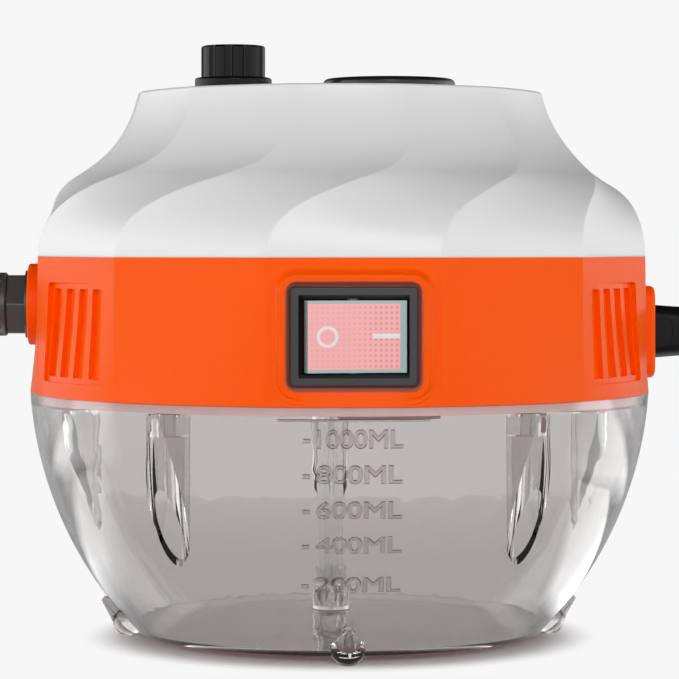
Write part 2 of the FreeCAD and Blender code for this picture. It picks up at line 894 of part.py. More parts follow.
def filler_cap():
    """Low disc with a grip bar between two hollows, and a pin that snaps through the stopper's hub."""
    low = top_height + fit_gap
    high = low + cap_height
    body = disc(cap_radius, low, high, filler_x)
    rim = [e for e in body.Edges if abs(e.BoundBox.ZMin - high) < 1e-6 and abs(e.BoundBox.ZMax - high) < 1e-6]
    body = body.makeFillet(cap_edge_radius, rim)
    hollow = disc(cap_grip_radius, high - cap_grip_depth, high + 1, filler_x)
    bar = Part.makeBox(cap_grip_bar, 2 * cap_radius, cap_height,
                       Vector(filler_x - cap_grip_bar / 2, -cap_radius, high - cap_grip_depth))
    body = body.cut(hollow.cut(bar))
    flange_top = filler_rim() + seat_gap + stopper_flange_thickness
    room = filler_bore_radius + stopper_flange + fit_gap
    body = body.cut(disc(room, low - 1, flange_top + fit_gap, filler_x))
    hub_low = filler_rim() + seat_gap - stopper_length + cap_pin_head_length + 1.0
    pin = disc(cap_pin_radius, hub_low - running_gap, flange_top + 1, filler_x)
    head_low = hub_low - seat_gap - cap_pin_head_length
    head = turned([(0, head_low), (cap_pin_radius, head_low),
                   (cap_pin_radius + cap_pin_head, hub_low - seat_gap), (0, hub_low - seat_gap)], filler_x)
    neck = disc(cap_pin_radius, hub_low - seat_gap - 0.1, hub_low, filler_x)
    return body.fuse(pin).fuse(neck).fuse(head).removeSplitter()


def board_low():
    """Underside of the control board, hung below the potentiometer by its legs."""
    return pot_low() - pot_leg_length + 1.0


def pot_low():
    """Underside of the potentiometer, whose shoulder meets the cover from below."""
    return top_height - shell_wall - seat_gap - pot_height


def shaft_top():
    """Height of the control shaft's end, inside the knob."""
    return top_height + fit_gap + knob_flange_height + knob_height - 2.4


def shaft_form(radius, low, high, flat_low):
    """Round shaft with a flat along its upper length."""
    bar = disc(radius, low, high, knob_x)
    flat = Part.makeBox(radius * 2, radius * 2, high - flat_low + 1,
                        Vector(knob_x - radius, radius - shaft_flat, flat_low))
    return bar.cut(flat)


def flat_start():
    """Height where the shaft's flat begins, above the bush."""
    return top_height + bush_height + 1.0


def pot_shaft():
    """Control shaft, from inside the potentiometer up into the knob."""
    return shaft_form(shaft_radius, pot_low() + 2, shaft_top(), flat_start())


def steam_knob():
    """Fluted knob on a round flange, hollow over the nut, with a bore that grips the shaft's flat."""
    low = top_height + fit_gap
    step = low + knob_flange_height
    high = step + knob_height
    flange = disc(knob_flange_radius, low, step, knob_x)
    rim = [e for e in flange.Edges if abs(e.BoundBox.ZMin - step) < 1e-6 and abs(e.BoundBox.ZMax - step) < 1e-6]
    flange = flange.makeFillet(knob_edge, rim)
    grip = disc(knob_radius, step - 1, high, knob_x)
    rim = [e for e in grip.Edges if abs(e.BoundBox.ZMin - high) < 1e-6 and abs(e.BoundBox.ZMax - high) < 1e-6]
    grip = grip.makeFillet(knob_edge, rim)
    reach = knob_radius + knob_flute_radius - knob_flute_depth
    for i in range(knob_flutes):
        turn = math.radians(360.0 * i / knob_flutes)
        grip = grip.cut(disc(knob_flute_radius, step, high + 1,
                             knob_x + reach * math.cos(turn), reach * math.sin(turn)))
    body = flange.fuse(grip)
    hollow = pot_nut_hex / math.sqrt(3) + 1.0
    body = body.cut(disc(hollow, low - 1, flat_start(), knob_x))
    bore = shaft_form(shaft_radius + 0.02, flat_start() - 1, shaft_top() + fit_gap, flat_start() - 1)
    return body.cut(bore).removeSplitter()


def control_pot():
    """Potentiometer: can, threaded bush through the crown, and three legs into the board."""
    low = pot_low()
    high = low + pot_height
    body = disc(pot_radius, low, high, knob_x)
    body = body.fuse(disc(bush_radius, high - 1, top_height + bush_height, knob_x))
    for i in (-1, 0, 1):
        leg = Part.makeBox(0.8, 1.2, pot_leg_length + 1, Vector(knob_x - 0.4 + 5 * i, -0.6, low - pot_leg_length))
        body = body.fuse(leg)
    bore = disc(shaft_radius + running_gap, low + 2 - running_gap, top_height + bush_height + 1, knob_x)
    return body.cut(bore)


def pot_nut():
    """Flat nut that holds the potentiometer to the crown."""
    low = top_height
    nut = hexagon(pot_nut_hex, low, low + pot_nut_height, knob_x)
    return nut.cut(disc(bush_radius, low - 1, low + pot_nut_height + 1, knob_x))


def control_board():
    """Board below the potentiometer, with its relay, capacitor and connector."""
    low = board_low()
    top = low + board_thickness
    board = block(board_length, board_width, low, top, knob_x, 0, 1.5)
    for i in (-1, 0, 1):
        board = board.cut(Part.makeBox(1.0, 1.4, board_thickness + 2, Vector(knob_x - 0.5 + 5 * i, -0.7, low - 1)))
    relay = block(relay_length, relay_width, low - relay_height, low, knob_x + 10, 8, 0.6)
    capacitor_x = knob_x - board_length / 2 + capacitor_radius
    capacitor = disc(capacitor_radius, low - 9, low, capacitor_x, -8)
    connector = block(connector_length, 6, low - 6, low, knob_x + 9, -10, 0.4)
    return board.fuse(relay).fuse(capacitor).fuse(connector)


def switch_housing():
    """Bezel and body of the switch: a funnel leads into the well that the rocker tips in."""
    seat = switch_seat()
    middle = bowl_height + switch_rise
    front = seat + bezel_thickness
    back = seat - switch_body_depth
    bezel = plate_out(bezel_width, bezel_height, bezel_corner, seat + running_gap, front, middle)
    rim = [e for e in bezel.Edges if all(abs(v.Y + front) < 1e-6 for v in e.Vertexes)]
    bezel = bezel.makeFillet(0.6, rim)
    body = plate_out(switch_body_width, switch_body_height, 0.8, back, seat + 1, middle)
    inner_width = switch_body_width - 2 * switch_body_wall
    inner_height = switch_body_height - 2 * switch_body_wall
    room = plate_out(inner_width, inner_height, 0.4, back + 2, seat - 2, middle)
    funnel = Part.makeLoft([rounded_rectangle(inner_width, window_throat_height, 0.4, seat - 3, middle),
                            rounded_rectangle(window_width, window_throat_height + 0.2, 0.4, seat, middle),
                            rounded_rectangle(window_width, window_height, 0.4, front + 0.01, middle)], True, True)
    shell = bezel.fuse(body).cut(room).cut(funnel)
    pivot = rocker_pivot()
    for side in (-1, 1):
        low = middle if side > 0 else middle - rocker_pin_top()
        shell = shell.cut(Part.makeCylinder(rocker_pin_radius + running_gap, rocker_pin_top() + running_gap,
                                            Vector(0, -pivot, low - (running_gap if side < 0 else 0))))
    for x, z in blade_spots():
        slot = Part.makeBox(blade_width, 6, blade_thickness, Vector(x - blade_width / 2, -back - 4, z - blade_thickness / 2))
        shell = shell.cut(slot)
    return at_switch(shell.removeSplitter())


def rocker_pivot():
    """Distance from the middle to the rocker's upright pivot."""
    return switch_seat() + bezel_thickness + rocker_front_reach - rocker_depth + rocker_pin_radius + 0.4


def rocker_pin_top():
    """Half the length over the rocker's two pins, which end inside the switch's walls."""
    return switch_body_height / 2 - switch_body_wall / 2


def rocker_form():
    """Rocker before it is tipped: dished lens, ends that flare a little, narrower back, pins and a leg."""
    middle = bowl_height + switch_rise
    pivot = rocker_pivot()
    front = switch_seat() + bezel_thickness + rocker_front_reach
    half = rocker_width / 2
    wide = half + rocker_flare
    narrow = rocker_back_width / 2
    back = front - rocker_depth
    low = middle - rocker_height / 2
    shoulder = front - rocker_side_depth

    def at(x, distance):
        return Vector(x, -distance, low)

    edges = [Part.Arc(at(half, front), at(0, front - rocker_dish), at(-half, front)).toShape(),
             Part.makeLine(at(-half, front), at(-wide, shoulder)),
             Part.makeLine(at(-wide, shoulder), at(-narrow, back)),
             Part.makeLine(at(-narrow, back), at(narrow, back)),
             Part.makeLine(at(narrow, back), at(wide, shoulder)),
             Part.makeLine(at(wide, shoulder), at(half, front))]
    lens = Part.Face(Part.Wire(edges)).extrude(UP * rocker_height)
    pins = Part.makeCylinder(rocker_pin_radius, 2 * rocker_pin_top(), Vector(0, -pivot, middle - rocker_pin_top()))
    leg = Part.makeCone(rocker_leg_radius + 0.6, rocker_leg_radius, 3.2, Vector(0, -back - 0.5, middle), Vector(0, 1, 0))
    return lens.fuse(pins).fuse(leg)


def switch_rocker():
    """Rocker at rest, pressed in at its right side."""
    rocker = rocker_form()
    rocker.rotate(Vector(0, -rocker_pivot(), 0), UP, rocker_tilt)
    return at_switch(rocker)


def blade_spots():
    """Places of the four contact blades, as x and height."""
    middle = bowl_height + switch_rise
    return [(i * blade_spacing_across / 2, middle + j * blade_spacing_up / 2) for i in (-1, 1) for j in (-1, 1)]


def switch_blades():
    """Four contact blades at the back of the switch."""
    back = switch_seat() - switch_body_depth
    blades = []
    for x, z in blade_spots():
        corner = Vector(x - blade_width / 2, -back - 1.9, z - blade_thickness / 2)
        blade = Part.makeBox(blade_width, blade_length + 1.9, blade_thickness, corner)
        eye = disc(1.0, z - 2, z + 2, x, -back + blade_length - 2.5)
        blades.append(blade.cut(eye))
    return at_switch(Part.makeCompound(blades))


def switch_lamp():
    """Small glass lamp behind the lens."""
    back = switch_seat() - switch_body_depth + 2
    middle = bowl_height + switch_rise + blade_spacing_up / 2
    lamp = Part.makeCylinder(lamp_radius, lamp_length, Vector(-lamp_length / 2, -back - lamp_radius - seat_gap, middle),
                             Vector(1, 0, 0))
    return at_switch(lamp.makeFillet(lamp_radius * 0.7, [lamp.Edges[0]]))


def gland_nut_start():
    """Distance from the middle to the inner end of the gland's dome nut."""
    return gland_face() + gland_washer_thickness + gland_hex_length + fit_gap


def gland_neck_end():
    """Distance from the middle to the end of the gland body's clamping neck."""
    return gland_nut_start() - fit_gap + gland_neck_length


def gland_body():
    """Gland body: threaded stem through the boss, sealing flange, hexagon and clamping neck."""
    height = bowl_height + gland_rise
    face = gland_face()
    hex_start = face + gland_washer_thickness
    stem_end = inner_face() - gland_locknut_length - 1.5
    body = rod_out(gland_thread_radius, stem_end, face + 0.5, height)
    body = body.fuse(rod_out(gland_washer_radius, face, hex_start, height))
    grip = hexagon_out(gland_hex, hex_start, hex_start + gland_hex_length, height)
    grip = grip.makeFillet(gland_hex_edge, [e for e in grip.Edges if abs(e.Length - gland_hex_length) < 1e-6])
    body = body.fuse(grip)
    neck = rod_out(gland_neck_radius, hex_start + gland_hex_length - 1, gland_neck_end(), height)
    body = body.fuse(neck).cut(rod_out(gland_bore_radius, stem_end - 1, gland_neck_end() + 1, height))
    return facing(body.removeSplitter(), gland_angle)


def gland_seal_head():
    """Distances from the middle to the two ends of the seal's head."""
    start = gland_neck_end() + seat_gap
    return start, start + 3.6


def gland_seal():
    """Rubber sleeve that grips the lead: it fills the body's neck and swells to a head under the nut."""
    height = bowl_height + gland_rise
    start = gland_nut_start()
    head_start, head_end = gland_seal_head()
    outer = gland_bore_radius - running_gap
    outline = [(start, lead_radius), (start, outer), (head_start, outer),
               (head_start, gland_neck_radius - 0.3), (head_start + 1.2, gland_neck_radius - 0.3),
               (head_end, gland_mouth_radius + 0.6), (head_end, lead_radius)]
    return facing(turned_out(outline, height), gland_angle)


def gland_nut():
    """Fluted dome nut with a rounded nose."""
    height = bowl_height + gland_rise
    start = gland_nut_start()
    end = start + gland_nut_length
    head_start, head_end = gland_seal_head()
    outer = gland_nut_radius
    nose = end - 6.5
    outline = [(start, gland_neck_radius + fit_gap), (start, outer - 0.5), (start + 0.5, outer), (nose, outer),
               (end - 3.2, outer - 0.9), (end - 1.2, outer - 2.0), (end, gland_mouth_radius + 0.8),
               (end, gland_mouth_radius), (head_end + seat_gap, gland_mouth_radius),
               (head_end + seat_gap, gland_mouth_radius + 1.0),
               (head_start + 1.4, gland_neck_radius + 0.1), (gland_neck_end() + 0.1, gland_neck_radius + fit_gap)]
    nut = turned_out(outline, height)
    for i in range(gland_nut_flutes):
        turn = math.radians(360.0 * (i + 0.5) / gland_nut_flutes)
        reach = outer + 0.5
        corner = Vector(reach * math.cos(turn), -start - 1.5, height + reach * math.sin(turn))
        flute = Part.makeCylinder(1.1, nose - start - 3.0, corner, OUT)
        nut = nut.cut(flute)
    return facing(nut, gland_angle)


def gland_locknut():
    """Flat nut inside the housing."""
    height = bowl_height + gland_rise
    end = inner_face() - running_gap
    nut = hexagon_out(gland_locknut_hex, end - gland_locknut_length, end, height)
    nut = nut.cut(rod_out(gland_thread_radius, end - gland_locknut_length - 1, end + 1, height))
    return facing(nut, gland_angle)


def outlet_fitting():
    """Brass fitting through the pad: flange outside, thread, and a barb at each end."""
    height = bowl_height + outlet_rise
    face = outlet_face()
    stem_end = inner_face() - outlet_nut_length - 2
    tip = stem_end - outlet_inner_barb_length
    flange_end = face + outlet_flange_thickness
    end = flange_end + outlet_barb_length
    barb = outlet_barb_radius
    outline = [(tip, outlet_bore_radius), (tip, barb - 0.6), (tip + 2.5, barb), (tip + 2.5, barb - 0.5),
               (tip + 5.0, barb), (tip + 5.0, barb - 0.5), (stem_end, barb - 0.5),
               (stem_end, outlet_thread_radius), (face, outlet_thread_radius), (face, outlet_flange_radius),
               (flange_end, outlet_flange_radius), (flange_end, barb - 0.5), (end - 2.5, barb - 0.5),
               (end - 2.5, barb), (end, barb - 0.6), (end, outlet_bore_radius)]
    return facing(turned_out(outline, height), outlet_angle)


def outlet_nut():
    """Nut on the fitting's thread inside the housing."""
    height = bowl_height + outlet_rise
    end = inner_face() - running_gap
    nut = hexagon_out(outlet_nut_hex, end - outlet_nut_length, end, height)
    nut = nut.cut(rod_out(outlet_thread_radius, end - outlet_nut_length - 1, end + 1, height))
    return facing(nut, outlet_angle)


def hose_grip_start():
    """Distance from the middle to the inner end of the bore that grips the hose."""
    return outlet_face() + outlet_flange_thickness + outlet_barb_length + hose_grip_gap


def hose_boot():
    """Rubber boot over the fitting: square collar with side panels, then a taper to the mouth.

    Its bore grips the hose, and is wider round the fitting, where the barb swells the hose.
    """
    height = bowl_height + outlet_rise
    face = outlet_face()
    collar_end = face + boot_collar_length
    end = face + boot_length
    collar = Part.makeLoft([rounded_rectangle(boot_width, boot_height, boot_corner, face, height),
                            rounded_rectangle(boot_width - 0.6, boot_height - 1.2, boot_corner, collar_end, height)],
                           True, True)
    mouth = boot_mouth_radius * 2
    taper = Part.makeLoft([rounded_rectangle(boot_width - 0.6, boot_height - 1.2, boot_corner, collar_end, height),
                           rounded_rectangle(mouth, mouth, boot_mouth_radius - 0.05, end, height)], True, True)
    body = collar.fuse(taper)
    for side in (-1, 1):
        panel = Part.makeBox(2, boot_panel_length, boot_panel_height,
                             Vector(-1, -face - boot_panel_length, height - boot_panel_height / 2))
        ends = [e for e in panel.Edges if e.BoundBox.XLength > 1 and abs(e.BoundBox.YMin + face + boot_panel_length) < 0.01]
        panel = panel.makeFillet(boot_panel_height * 0.3, ends)
        panel.translate(Vector(side * (boot_width / 2 + 1 - boot_panel_depth), 0, 0))
        body = body.cut(panel)
    flange = outlet_flange_radius + fit_gap
    body = body.cut(rod_out(flange, face - 1, face + outlet_flange_thickness + fit_gap, height))
    body = body.cut(rod_out(hose_radius + hose_swell, face, hose_grip_start(), height))
    body = body.cut(rod_out(hose_radius, face, end + 1, height))
    return facing(body.removeSplitter(), outlet_angle)


def boiler_low():
    """Underside of the boiler block, on its feet."""
    return deck_top + boiler_pad_height + boiler_foot_height


def heater_path():
    """U-shaped path of the heater in the block, with both ends out at the left."""
    centre = boiler_spot()
    height = boiler_low() + heater_rise
    left = centre.x - boiler_length / 2 - heater_tail
    right = centre.x + boiler_length / 2 - boiler_corner - heater_radius
    near = centre.y - heater_spacing / 2
    far = centre.y + heater_spacing / 2
    return [Vector(left, near, height), Vector(right, near, height), Vector(right, far, height), Vector(left, far, height)]


def heater_element():
    """Tubular heater cast into the block, with its two tails."""
    points = heater_path()
    bar = piped(points, heater_spacing / 2 - 0.1, heater_radius)
    for point in (points[0], points[-1]):
        pin = Part.makeCylinder(1.2, 6.5, point + Vector(0.5, 0, 0), Vector(-1, 0, 0))
        bar = bar.fuse(pin)
    return bar


def boiler_outlet_spot():
    """Root of the boiler's steam nipple, in its front face, level with the outlet fitting."""
    centre = boiler_spot()
    clear = filler_x + filler_bore_radius + filler_wall + outlet_barb_radius + steam_tube_wall + steam_filler_gap
    x = max(centre.x + boiler_length / 2 - boiler_corner, clear)
    return Vector(x, boiler_front, bowl_height + outlet_rise)


def feed_spot():
    """Place of the boiler's water nipple, in line with the pump."""
    return Vector(pump_x, boiler_front + feed_nipple_inset, boiler_low() + boiler_height + boiler_lid_thickness)


def boiler_block():
    """Cast block with the heater's channel and the steam nipple, which has the fitting's barb size."""
    centre = boiler_spot()
    low = boiler_low()
    body = block(boiler_length, boiler_width(), low, low + boiler_height, centre.x, centre.y, boiler_corner)
    body = body.cut(piped(heater_path(), heater_spacing / 2 - 0.1, heater_radius))
    spot = boiler_outlet_spot()
    nipple = Part.makeCylinder(outlet_barb_radius, nipple_length + 2, spot + Vector(0, 2, 0), OUT)
    boss = Part.makeCylinder(outlet_barb_radius + 2, nipple_collar + 1, spot + Vector(0, 1, 0), OUT)
    bore = Part.makeCylinder(outlet_bore_radius, nipple_length + 10, spot + Vector(0, 9, 0), OUT)
    return body.fuse(boss).fuse(nipple).cut(bore)


def boiler_lid():
    """Lid plate with the water nipple and a raised rim."""
    centre = boiler_spot()
    low = boiler_low() + boiler_height
    top = low + boiler_lid_thickness
    lid = block(boiler_length, boiler_width(), low, top, centre.x, centre.y, boiler_corner)
    spot = feed_spot()
    lid = lid.fuse(disc(nipple_radius + 2, top - 1, top + nipple_collar, spot.x, spot.y))
    lid = lid.fuse(disc(nipple_radius, top, top + nipple_length, spot.x, spot.y))
    return lid.cut(disc(nipple_radius - 1, low - 1, top + nipple_length + 1, spot.x, spot.y))


def boiler_thermostat():
    """Snap-disc thermostat on the lid, with its two tabs."""
    centre = boiler_spot()
    low = boiler_low() + boiler_height + boiler_lid_thickness
    x = centre.x - 4
    y = centre.y + 4
    body = disc(thermostat_radius, low, low + thermostat_height, x, y)
    body = body.fuse(disc(thermostat_radius + 2.5, low, low + 1.0, x, y))
    for side in (-1, 1):
        body = body.fuse(Part.makeBox(0.8, 6, 6, Vector(x + side * 5 - 0.4, y - 3, low + thermostat_height - 1)))
    return body


def thermal_fuse():
    """Thermal fuse under its clip on the lid."""
    centre = boiler_spot()
    low = boiler_low() + boiler_height + boiler_lid_thickness
    x = centre.x + fuse_offset
    start = Vector(x, centre.y - fuse_length / 2, low + fuse_radius)
    fuse = Part.makeCylinder(fuse_radius, fuse_length, start, Vector(0, 1, 0))
    clip = block(5, 8, low, low + 2 * fuse_radius + 1, x, centre.y, 0.8)
    foot = block(14, 8, low, low + 1, x + 5, centre.y, 0.8)
    return fuse.fuse(clip).fuse(foot)


def boiler_feet():
    """Four heat-proof feet between the deck's pads and the block."""
    low = deck_top + boiler_pad_height
    feet = []
    for x, y in boiler_foot_spots():
        foot = turned([(0, low), (boiler_foot_radius, low), (boiler_foot_radius, low + 2),
                       (boiler_foot_radius - 1, low + boiler_foot_height / 2),
                       (boiler_foot_radius, low + boiler_foot_height - 2),
                       (boiler_foot_radius, low + boiler_foot_height), (0, low + boiler_foot_height)], x, y)
        feet.append(foot)
    return Part.makeCompound(feet)


def pump_height():
    """Height of the pump's level axis."""
    return deck_top + pump_stand_height + pump_yoke_height / 2


def pump_end():
    """Distance from the middle to the front end of the pump's yoke."""
    return pump_start + pump_coil_length + 2 * pump_yoke_thickness


def at_pump(shape):
    """Move a shape that was built on the front axis over to the pump's axis."""
    shape.translate(Vector(pump_x, 0, 0))
    return shape


def pump_coil():
    """Moulded coil with two blades on top."""
    low = pump_start + pump_yoke_thickness
    high = low + pump_coil_length
    outline = [(low, pump_core_radius), (low, pump_coil_radius - 1), (low + 3, pump_coil_radius - 1),
               (low + 4, pump_coil_radius), (high - 4, pump_coil_radius), (high - 3, pump_coil_radius - 1),
               (high, pump_coil_radius - 1), (high, pump_core_radius)]
    coil = turned_out(outline, pump_height())
    for side in (-1, 1):
        corner = Vector(side * 5 - 0.4, -low - 14, pump_height() + pump_coil_radius - 2)
        coil = coil.fuse(Part.makeBox(0.8, 6, 8, corner))
    return at_pump(coil)


def pump_yoke():
    """Steel frame round the coil, with an ear at each side for its buffer."""
    low = pump_height() - pump_yoke_height / 2
    half = pump_yoke_width / 2
    plate = pump_yoke_thickness
    outer = Part.makeBox(pump_yoke_width, pump_end() - pump_start, pump_yoke_height, Vector(-half, -pump_end(), low))
    inner = Part.makeBox(pump_yoke_width - 2 * plate, pump_coil_length, pump_yoke_height + 2,
                         Vector(-half + plate, -pump_end() + plate, low - 1))
    middle = -(pump_start + pump_end()) / 2
    ears = block(pump_yoke_width + 4 * pump_buffer_radius, 2 * pump_buffer_radius, low, low + plate, 0, middle, 3.5)
    frame = at_pump(outer.fuse(ears).cut(inner))
    for x, y in buffer_spots():
        frame = frame.cut(disc(pilot_radius + 0.4, low - 1, low + plate + 1, x, y))
    bore = at_pump(rod_out(pump_core_radius, pump_start - 1, pump_end() + 1, pump_height()))
    return frame.cut(bore).removeSplitter()


def pump_core():
    """Pump tube through the coil: inlet nipple at the back, valve head and outlet nipple at the front."""
    height = pump_height()
    inlet = pump_start - pump_collar_length
    outlet = pump_end() + pump_head_length
    core = rod_out(pump_core_radius, inlet, pump_end() + 1, height)
    core = core.fuse(hexagon_out(pump_head_hex, pump_end(), outlet, height))
    core = core.fuse(rod_out(nipple_radius, inlet - nipple_length, inlet + 1, height))
    core = core.fuse(rod_out(nipple_radius, outlet - 1, outlet + nipple_length, height))
    bore = rod_out(nipple_radius - 1, inlet - nipple_length - 1, outlet + nipple_length + 1, height)
    return at_pump(core.cut(bore))


def pump_buffers():
    """Two rubber buffers that carry the pump on the deck."""
    low = deck_top
    high = deck_top + pump_stand_height
    waist = (low + high) / 2
    buffers = []
    for x, y in buffer_spots():
        buffers.append(turned([(0, low), (pump_buffer_radius, low), (pump_buffer_radius - 1.2, waist),
                               (pump_buffer_radius, high), (0, high)], x, y))
    return Part.makeCompound(buffers)


def suction_tube():
    """Hose from the filter up through the deck and across to the pump's inlet."""
    height = pump_height()
    end = pump_collar_length - pump_start + seat_gap
    spot = suction_spot()
    points = [Vector(spot.x, spot.y, suction_end_height), Vector(spot.x, spot.y, height),
              Vector(pump_x, spot.y, height), Vector(pump_x, end, height)]
    return piped(points, feed_bend_radius, tube_outer_radius).cut(piped(points, feed_bend_radius, tube_bore_radius))


def suction_filter():
    """Filter at the tube's lower end: sleeve, cage of eight windows and a closed foot."""
    floor = base_height + bowl_wall + seat_gap
    cage_top = suction_end_height
    body = disc(filter_radius, floor, cage_top + 1.4)
    body = body.fuse(disc(tube_outer_radius + 1.0, cage_top, cage_top + filter_sleeve))
    body = body.cut(disc(tube_outer_radius, cage_top, cage_top + filter_sleeve + 1))
    body = body.cut(disc(filter_radius - 1.2, floor + 1.2, cage_top))
    windows = 8
    for i in range(windows):
        window = Part.makeBox(filter_radius + 1, 2.2, cage_top - floor - 2.4, Vector(0, -1.1, floor + 1.2))
        window.rotate(Vector(0, 0, 0), UP, 360.0 * i / windows)
        body = body.cut(window)
    body.translate(suction_spot())
    return body


def deck_grommet():
    """Rubber grommet that seals the suction tube in the deck."""
    inner = tube_outer_radius
    hole = tube_outer_radius + grommet_thickness
    flange = grommet_radius()
    outline = [(inner, deck_low - 1.5), (flange - 0.6, deck_low - 1.5), (flange - 0.6, deck_low), (hole, deck_low),
               (hole, deck_top), (flange, deck_top), (flange, deck_top + 1.5), (inner, deck_top + 1.5)]
    spot = suction_spot()
    return turned(outline, spot.x, spot.y)


def feed_tube():
    """Hose from the pump's outlet, up and back over the pump to the boiler's water nipple."""
    start = Vector(pump_x, -(pump_end() + pump_head_length + seat_gap), pump_height())
    end = feed_spot() + Vector(0, 0, nipple_collar + seat_gap)
    level = end.z + feed_tube_rise
    reach = pump_end() + pump_head_length + nipple_length + feed_bend_radius + feed_tube_run
    points = [start, Vector(start.x, -reach, start.z), Vector(start.x, -reach, level),
              Vector(end.x, end.y, level), end]
    return piped(points, feed_bend_radius, tube_outer_radius).cut(piped(points, feed_bend_radius, tube_bore_radius))


def steam_tube():
    """Hose from the boiler's steam nipple round to the outlet fitting."""
    height = bowl_height + outlet_rise
    spot = boiler_outlet_spot()
    start = spot + Vector(0, -nipple_collar - seat_gap, 0)
    end = Vector(inner_face() - outlet_nut_length - 2 - seat_gap, 0, height)
    corner = Vector(spot.x, 0, height)
    points = [start, corner, end]
    outer = piped(points, steam_bend_radius, outlet_barb_radius + steam_tube_wall)
    return outer.cut(piped(points, steam_bend_radius, outlet_barb_radius))


def terminal_block():
    """Three-way terminal block on the deck."""
    spot = terminal_spot()
    body = block(terminal_width, terminal_length, deck_top, deck_top + terminal_height, spot.x, spot.y, 1.0)
    pitch = terminal_length / terminal_ways
    for i in range(terminal_ways):
        y = spot.y + (i - (terminal_ways - 1) / 2) * pitch
        body = body.cut(disc(2.2, deck_top + terminal_height - 5, deck_top + terminal_height + 1, spot.x, y))
        entry = Part.makeCylinder(1.8, terminal_width + 2, Vector(spot.x - terminal_width / 2 - 1, y, deck_top + 5),
                                  Vector(1, 0, 0))
        body = body.cut(entry)
    return body


NODES = (
    tank_bowl, tank_seal, screw_seals, mid_housing, top_cover,
    filler_tube, filler_tube_seal, filler_stopper, filler_cap_seal, filler_cap,
    steam_knob, pot_shaft, control_pot, pot_nut, control_board,
    switch_housing, switch_rocker, switch_blades, switch_lamp,
    gland_body, gland_seal, gland_nut, gland_locknut,
    outlet_fitting, outlet_nut, hose_boot,
    boiler_block, boiler_lid, heater_element, boiler_thermostat, thermal_fuse, boiler_feet,
    pump_core, pump_coil, pump_yoke, pump_buffers,
    suction_tube, suction_filter, deck_grommet, feed_tube, steam_tube, terminal_block,
)


os.makedirs("parts", exist_ok=True)
for build in NODES:
    shape = build()
    shape.exportStep(os.path.join("parts", build.__name__ + ".step"))
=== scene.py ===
# %% [markdown]
# # Dressing a wallpaper steamer
#
# The steamer stands on a clear water bowl. A twelve-sided orange band carries its switch, its cable gland
# and its steam outlet, and a white cover sweeps up to a round top with a knob and a filler cap. The solid
# model already has every piece in its place. This lesson adds what a camera sees: finishes, the swirled
# skin of the cover, the raised scale on the bowl, the switch's gasket and marks, and the light.

import math

import bmesh
import bpy
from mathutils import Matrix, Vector
from mathutils.bvhtree import BVHTree


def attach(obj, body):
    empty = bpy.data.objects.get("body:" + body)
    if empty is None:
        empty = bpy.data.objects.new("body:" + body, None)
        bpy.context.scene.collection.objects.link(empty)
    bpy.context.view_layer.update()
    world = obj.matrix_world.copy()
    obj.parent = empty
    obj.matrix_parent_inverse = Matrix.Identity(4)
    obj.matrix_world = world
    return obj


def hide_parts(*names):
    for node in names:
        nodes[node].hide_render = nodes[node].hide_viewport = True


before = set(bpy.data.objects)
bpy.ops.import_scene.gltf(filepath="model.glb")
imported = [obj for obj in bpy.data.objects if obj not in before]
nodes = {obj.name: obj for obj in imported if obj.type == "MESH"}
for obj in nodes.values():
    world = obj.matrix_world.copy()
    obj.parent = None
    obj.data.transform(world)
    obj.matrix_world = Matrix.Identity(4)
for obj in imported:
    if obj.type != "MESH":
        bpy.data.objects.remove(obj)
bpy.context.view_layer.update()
MM = 0.001
print("loaded", len(nodes), "nodes")

# %% [markdown]
# ## The camera
#
# A product photograph like this one is taken level, a little above the seam of the cover, with a long lens.
# A level camera keeps upright edges upright. The object sits low in the picture, and that is done by
# shifting the lens, as on a view camera, because tilting would make the sides lean.

# %% Camera
camera_distance = 818 * MM
camera_height = 113.6 * MM
camera_turn = math.radians(2.1)
picture_width = 679
horizon_row = 245.0
pixels_per_metre = 3422.3
sensor_width = 36.0

camera_data = bpy.data.cameras.new("camera")
camera_data.sensor_width = sensor_width
camera_data.lens = sensor_width * pixels_per_metre * camera_distance / picture_width
camera_data.shift_y = -(picture_width / 2 - horizon_row) / picture_width
camera = bpy.data.objects.new("camera", camera_data)
bpy.context.scene.collection.objects.link(camera)
camera.location = (-camera_distance * math.sin(camera_turn), -camera_distance * math.cos(camera_turn),
                   camera_height)
camera.rotation_euler = (math.pi / 2, 0, -camera_turn)
bpy.context.scene.camera = camera
print("lens", round(camera_data.lens, 1), "mm")

# %% [markdown]
# ## A small kit for shader nodes
#
# Every finish below is a Principled shader with a little unevenness fed into it. Unevenness can be
# painted, but a procedural one has no seams and any scale, so noise on Object coordinates is used. Object
# coordinates are metres here, because each piece keeps its place in its mesh.

# %% Shader helpers
def new_material(name):
    """Empty node material with its output node."""
    material = bpy.data.materials.new(name)
    material.use_nodes = True
    tree = material.node_tree
    tree.nodes.clear()
    output = tree.nodes.new("ShaderNodeOutputMaterial")
    return material, tree, output


def add(tree, kind, inputs=None, **settings):
    """One node, with its settings, and its inputs given as values or as sockets to link from."""
    node = tree.nodes.new(kind)
    for key, value in settings.items():
        setattr(node, key, value)
    for key, value in (inputs or {}).items():
        if isinstance(value, bpy.types.NodeSocket):
            tree.links.new(value, node.inputs[key])
        else:
            node.inputs[key].default_value = value
    return node


def maths(tree, operation, *values):
    """Result of one Math node."""
    return add(tree, "ShaderNodeMath", dict(enumerate(values)), operation=operation).outputs[0]


def coordinates(tree):
    """Object coordinates in metres."""
    return add(tree, "ShaderNodeTexCoord").outputs["Object"]


